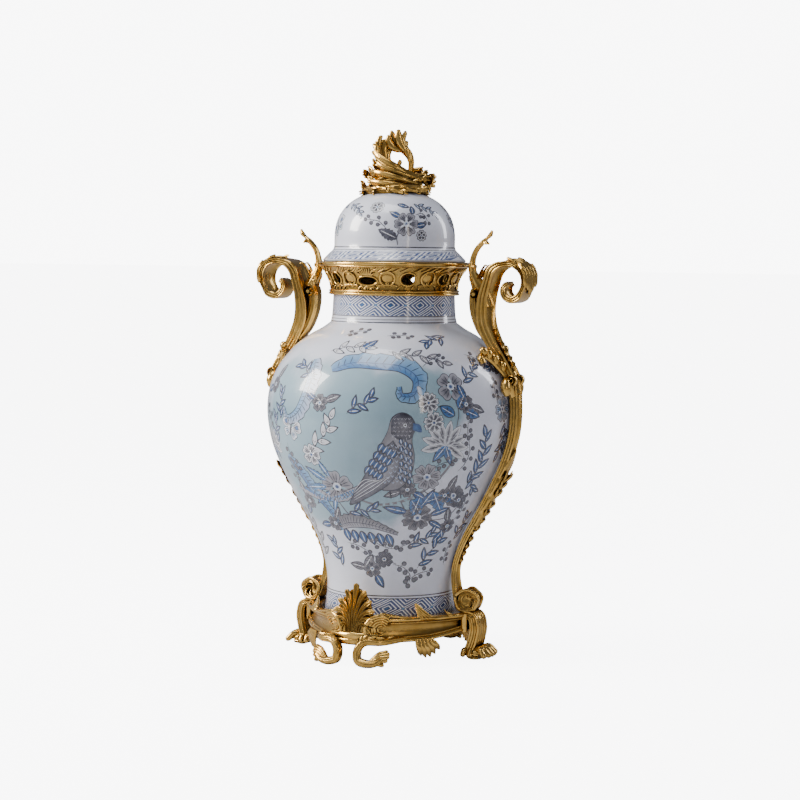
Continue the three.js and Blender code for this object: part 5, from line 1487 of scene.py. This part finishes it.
def leaf_fan(facing):
    """The upright fan of ribbed lobes, leaning back against the jar's foot."""
    root, tall, low_share = BASE_BOTTOM + 1.5, 65.5, 0.47
    middle = root + low_share * tall

    def reach_at(angle):
        upward = np.where(np.cos(angle) > 0, 1 - low_share, low_share) * tall
        power = np.where(np.cos(angle) > 0, 1.55, 2.3)
        return ((np.abs(np.sin(angle)) / 26) ** power
                + (np.abs(np.cos(angle)) / upward) ** power) ** (-1 / power)

    u, v = np.meshgrid(np.linspace(-1, 1, 61), np.linspace(0, 1, 12))
    angle = u * math.radians(150)
    reach = 0.84 * reach_at(angle)
    x = np.sin(angle) * reach * (0.06 + 0.94 * v)
    z = mix(root, middle + np.cos(angle) * reach, 0.06 + 0.94 * v)

    def back_at(z):
        return CORNER_RADIUS - 5 - (z - root) / tall * 12

    back = back_at(z)
    front = np.stack([x, facing * (back + 7.4 + 2.4 * np.sin(math.pi * (0.25 + 0.75 * v))), z], -1)
    rear = np.stack([x * 0.98, facing * (back + 4 * v), z - 0.3], -1)
    base.skin(np.concatenate([front, rear[:, ::-1]], axis=1))
    # A plate behind the fan closes the casting between the scrolls.
    x, z = np.meshgrid(np.linspace(-25, 25, 21), np.linspace(root - 1, BASE_TOP - 3, 8))
    plate = np.stack([x, facing * (back_at(root) + 4.5 - 0.005 * x ** 2), z], -1)
    base.skin(np.concatenate([plate, (plate - [0, facing * 3, 0])[:, ::-1]], axis=1))
    ramp = np.linspace(0, 1, 14)
    for k in range(2 * FAN_LOBES - 1):
        u = (k + 1) / FAN_LOBES - 1
        between = k % 2
        angle = u * math.radians(146)
        reach = float(reach_at(angle)) * (0.86 if between else 1)
        tip_x, tip_z = math.sin(angle) * reach, middle + math.cos(angle) * reach
        low = max(0.0, abs(u) - 0.35)
        x = 7 * u + (tip_x - 7 * u) * ramp ** 2.1
        z = root + (tip_z - root) * (1 - (1 - ramp) ** 1.5) + 24 * low * np.sin(math.pi * ramp) ** 1.3
        curl = 3.4 * np.sin(math.pi * (0.2 + 0.7 * ramp)) + 2.4 * np.clip((ramp - 0.82) / 0.18, 0, 1)
        out = back_at(z) + 7.2 + curl - 2.0 * between
        path = np.stack([x, facing * out, z], 1)
        wide = np.interp(ramp, [0, 0.5, 0.82, 0.94, 1], [2.6, 4.6, 7.6, 6.6, 2.6]) * (0.66 if between else 1)
        thick = np.interp(ramp, [0, 0.6, 0.9, 1], [4, 6, 5.4, 2])
        base.bar(path, wide, thick, np.cross(np.gradient(path, axis=0), (0, facing, 0)), RIBBED)


def scroll_beside_fan(facing, hand):
    """Nested C-scrolls that close a panel towards the fan, with gadroons on their backs."""
    middle, reach = (BASE_BOTTOM + BASE_TOP) / 2, (BASE_TOP - BASE_BOTTOM) / 2
    ramp = np.linspace(0, 1, 24)
    for nest in range(5):
        inset = 2.9 * nest
        turn = math.pi * mix(0.3 - 0.04 * nest, 1.5 + 0.05 * nest, ramp)
        path = on_base(-72.5 + (9.2 - 0.62 * inset) * np.cos(turn),
                       middle + 1.5 + (15.6 - inset) * np.sin(turn), 4.2 - 0.9 * nest)
        swell = 0.4 + 0.75 * np.sin(math.pi * (0.12 + 0.8 * ramp)) ** 0.8
        base.tube(path * [hand, -facing, 1], (2.5 - 0.25 * nest) * swell)
    for k in range(6):
        start = 17 + 2.7 * k
        ramp = np.linspace(0, 1, 12)
        rise = reach * (1.1 - 0.02 * k) + (3.6 - 0.5 * k) * np.sin(math.pi * ramp * 0.8) - 1.5 * ramp
        path = on_base(-90 + start + 7.5 * ramp - 2 * np.sin(math.pi * ramp), middle + rise, 0.8)
        base.tube(path * [hand, -facing, 1], (1.9 - 0.12 * k) * np.sin(math.pi * (0.15 + 0.75 * ramp)))
    for k in range(7):
        start = 12 - 1.6 * k
        ramp = np.linspace(0, 1, 9)
        path = on_base(-90 + start + 2.0 * ramp, BASE_BOTTOM + 4.4 + 0.2 * k - 5.5 * ramp, 4.5 - 2.0 * ramp)
        base.tube(path * [hand, -facing, 1], 1.7 - 0.9 * ramp)


def toes(root, direction, side, count, length, width, size, lift=2.0):
    """Leafy toes that splay from the end of a foot."""
    direction = np.asarray(direction, float) / np.linalg.norm(direction)
    side = np.asarray(side, float)
    for k in range(count):
        spread = 2 * k / (count - 1) - 1
        reach = length * (1 - 0.22 * spread ** 2)
        tip = root + direction * reach + side * spread * width / 2 + [0, 0, lift * 0.3]
        start = root - direction * length * 0.5 + side * spread * width * 0.16
        knuckle = mix(start, tip, 0.55) + [0, 0, lift + size * 0.25]
        path = smooth_curve([start, knuckle, mix(knuckle, tip, 0.7) + [0, 0, -0.3 * lift], tip], 14)
        path[:, 2] = np.maximum(path[:, 2], size * 0.52)
        share = np.linspace(0, 1, 14)
        base.bar(path, size * np.interp(share, [0, 0.4, 0.8, 0.94, 1], [1, 1.15, 1.05, 0.75, 0.25]),
                 size * np.interp(share, [0, 0.6, 0.9, 1], [0.9, 1, 0.8, 0.3]), side, GADROON)


def front_foot(facing, hand):
    """A scrolled foot that leaves the base's lower edge, turns over and ends in leafy toes."""
    out, mid, thick, shift = CORNER_RADIUS + 8, BASE_BOTTOM + 3, 9.5, 4
    start = on_base(-54, mid, -6)

    def step(x, y, z, width, thickness, moved=shift):
        return (hand * x + facing * moved, facing * y, z, width, thickness)

    stations = [
        step(start[0], -start[1], mid + 1, 9, 6.6, 0), step(37, 0.88 * out, mid - 0.5, 11, 8.5),
        step(19, 0.955 * out, mid - 1, 12, thick), step(12.5, 0.985 * out, 0.68 * mid, 12, thick),
        step(13.5, out, 0.28 * mid, 12, thick), step(21, out, 0.4 * thick + 1.2, 12, thick),
        step(33, 0.96 * out, 0.55 * thick, 12, 8), step(40, 0.93 * out, 0.34 * mid, 9, 6),
    ]
    path, widths, thicknesses = stations_path(stations, 46)
    side = np.array([0.22 * facing, hand, 0])
    base.bar(path, widths, thicknesses, side, FLUTED)
    end = path[-8]
    toes(end, path[-1] - path[-10] + np.array([0, 0, 0.5]),
         np.array([0.1 * hand, -0.45 * facing, 0.85]), 5, 19, 17, 5.2)
    for k in range(6):
        i = 4 + 3 * k
        run = path[i] - path[i + 2]
        run /= np.linalg.norm(run)
        root = path[i] + [0, facing * 1.5, 3.6]
        tip = root + run * 6.5 + np.array([0, facing * 2.6, 2.2])
        lobe = smooth_curve([root - run * 3, mix(root, tip, 0.5) + [0, facing * 0.8, 0.4], tip], 8)
        base.bar(lobe, np.linspace(4.6, 1, 8), np.linspace(3.6, 1, 8), (0, 0, 1), GADROON)


def side_foot(hand):
    """The fluted leg under a handle, with toes to the front and to both sides."""
    corner, top, wide = CORNER_RADIUS, BASE_TOP - 4, 32
    stations = [
        (hand * (corner + out), 0, z, wide * share, thickness) for out, z, share, thickness in (
            (-17, top - 1, 0.8, 7), (-5, top, 0.9, 9), (4, top - 2, 1, 12), (7, top * 0.72, 1, 13),
            (5, top * 0.48, 1, 13), (2, top * 0.24, 1.12, 13), (5, 6.4, 1.3, 12), (15, 5.3, 1.15, 8))]
    path, widths, thicknesses = stations_path(stations, 44)
    base.bar(path, widths, thicknesses, (0, -hand, 0), FLUTED)
    axis_across, axis_out = bar_axes(path, (0, -hand, 0))
    for k in range(5):
        spread = (k - 2) / 2
        rib = path + axis_across * (spread * widths * 0.4)[:, None] + axis_out * thicknesses[:, None] * 0.42
        base.tube(rib[6:], 1.5 + 0.9 * np.linspace(0, 1, 38))
    toes(np.array([hand * (corner + 12), 0, 6.5]), (hand, 0, -0.1), np.array([0, 1.0, 0]), 5, 16.5, 40,
         7.6, 5)
    for side in (1, -1):
        toes(np.array([hand * (corner + 3), side * 12, 6.0]), (hand * 0.35, side, -0.1),
             np.array([1.0, -0.35 * side * hand, 0]), 3, 10, 17, 6.2, 4.5)


def panel_leaves(facing, hand):
    """The leaf that hangs under the middle of a panel and the one that lies along its top edge."""
    for k in range(5):
        ramp = np.linspace(0, 1, 14)
        length = (19, 21.5, 21, 18, 13)[k]
        path = on_base(-47 + 2.6 * k + (3.4 + k) * ramp ** 1.3, BASE_BOTTOM + 3.5 - length * ramp,
                       1.2 + 2.2 * np.sin(math.pi * ramp) - 0.8 * ramp)
        round_base = np.cross(path, (0, 0, 1))[7] * [hand, -facing, 1] * [-1, -1, 0] / 100
        base.bar(path * [hand, -facing, 1], np.interp(ramp, [0, 0.4, 0.8, 1], [5.4, 8, 6.6, 1.6]),
                 np.interp(ramp, [0, 0.6, 1], [3.6, 4.8, 1.8]), round_base, GADROON)
    for k in range(5):
        ramp = np.linspace(0, 1, 12)
        path = on_base(mix(-33.5 - 2.4 * k, -48.5 + 0.8 * k, ramp ** 0.9),
                       BASE_TOP - 2.5 + (17.5 - 4.1 * k) * ramp ** 1.5, 0.8 - 4.5 * ramp + 4 * ramp ** 4)
        base.bar(path * [hand, -facing, 1], np.interp(ramp, [0, 0.5, 0.85, 1], [4.4, 6.6, 6.2, 2.4]),
                 np.interp(ramp, [0, 0.6, 1], [4.6, 5, 2]), (0, 0, 1), GADROON)
    for k in range(3):
        ramp = np.linspace(0, 1, 9)
        path = on_base(-18.5 - 1.4 * k - (1.5 + k) * ramp, BASE_TOP - 2 + (3 + 2.4 * k) * ramp,
                       0.4 - 2.6 * ramp)
        base.bar(path * [hand, -facing, 1], np.linspace(3.4, 0.8, 9), np.linspace(2.8, 1, 9),
                 (0, 0, 1), GADROON)
    # The panel's inner fillet follows its edges and closes it with a round end by the side leg.
    ramp = np.linspace(0, 1, 20)
    top_run = np.stack([mix(-66, -10.5, ramp), np.full(20, 48.3)], 1)
    turn = np.linspace(math.pi / 2, -math.pi / 2, 12)
    low_z = 32.2 + end_rise(-10.5)
    end_run = np.stack([-10.5 + 4.0 * np.cos(turn),
                        (48.3 + low_z) / 2 + (48.3 - low_z) / 2 * np.sin(turn)], 1)
    low_angles = mix(-10.5, -66, ramp)
    low_run = np.stack([low_angles, 32.2 + end_rise(low_angles)], 1)
    run = np.vstack([top_run, end_run[1:-1], low_run])
    base.tube(on_base(run[:, 0], run[:, 1], -2.6) * [hand, -facing, 1], 1.1)


for facing in (1, -1):
    leaf_fan(facing)
    for hand in (1, -1):
        scroll_beside_fan(facing, hand)
        front_foot(facing, hand)
        panel_leaves(facing, hand)
for hand in (1, -1):
    side_foot(hand)
    # An upright roll closes each panel against the side leg.
    for side in (1, -1):
        upright = on_base(side * 7.8, np.linspace(BASE_BOTTOM + END_LIFT - 1, BASE_TOP - 1.5, 12), -1.6)
        base.tube(upright * [hand, 1, 1], 4.4)
for facing in (1, -1):
    # A rolled moulding runs under each fan, between the roots of the feet.
    roll_angles = np.linspace(-106, -74, 24)
    for up, size in ((2.5, 4.6), (8.5, 5.2)):
        base.tube(on_base(roll_angles, BASE_BOTTOM + up, 2.5) * [1, -facing, 1],
                  size - 0.003 * (roll_angles + 90) ** 2)
base.piece("base_casting", "base")
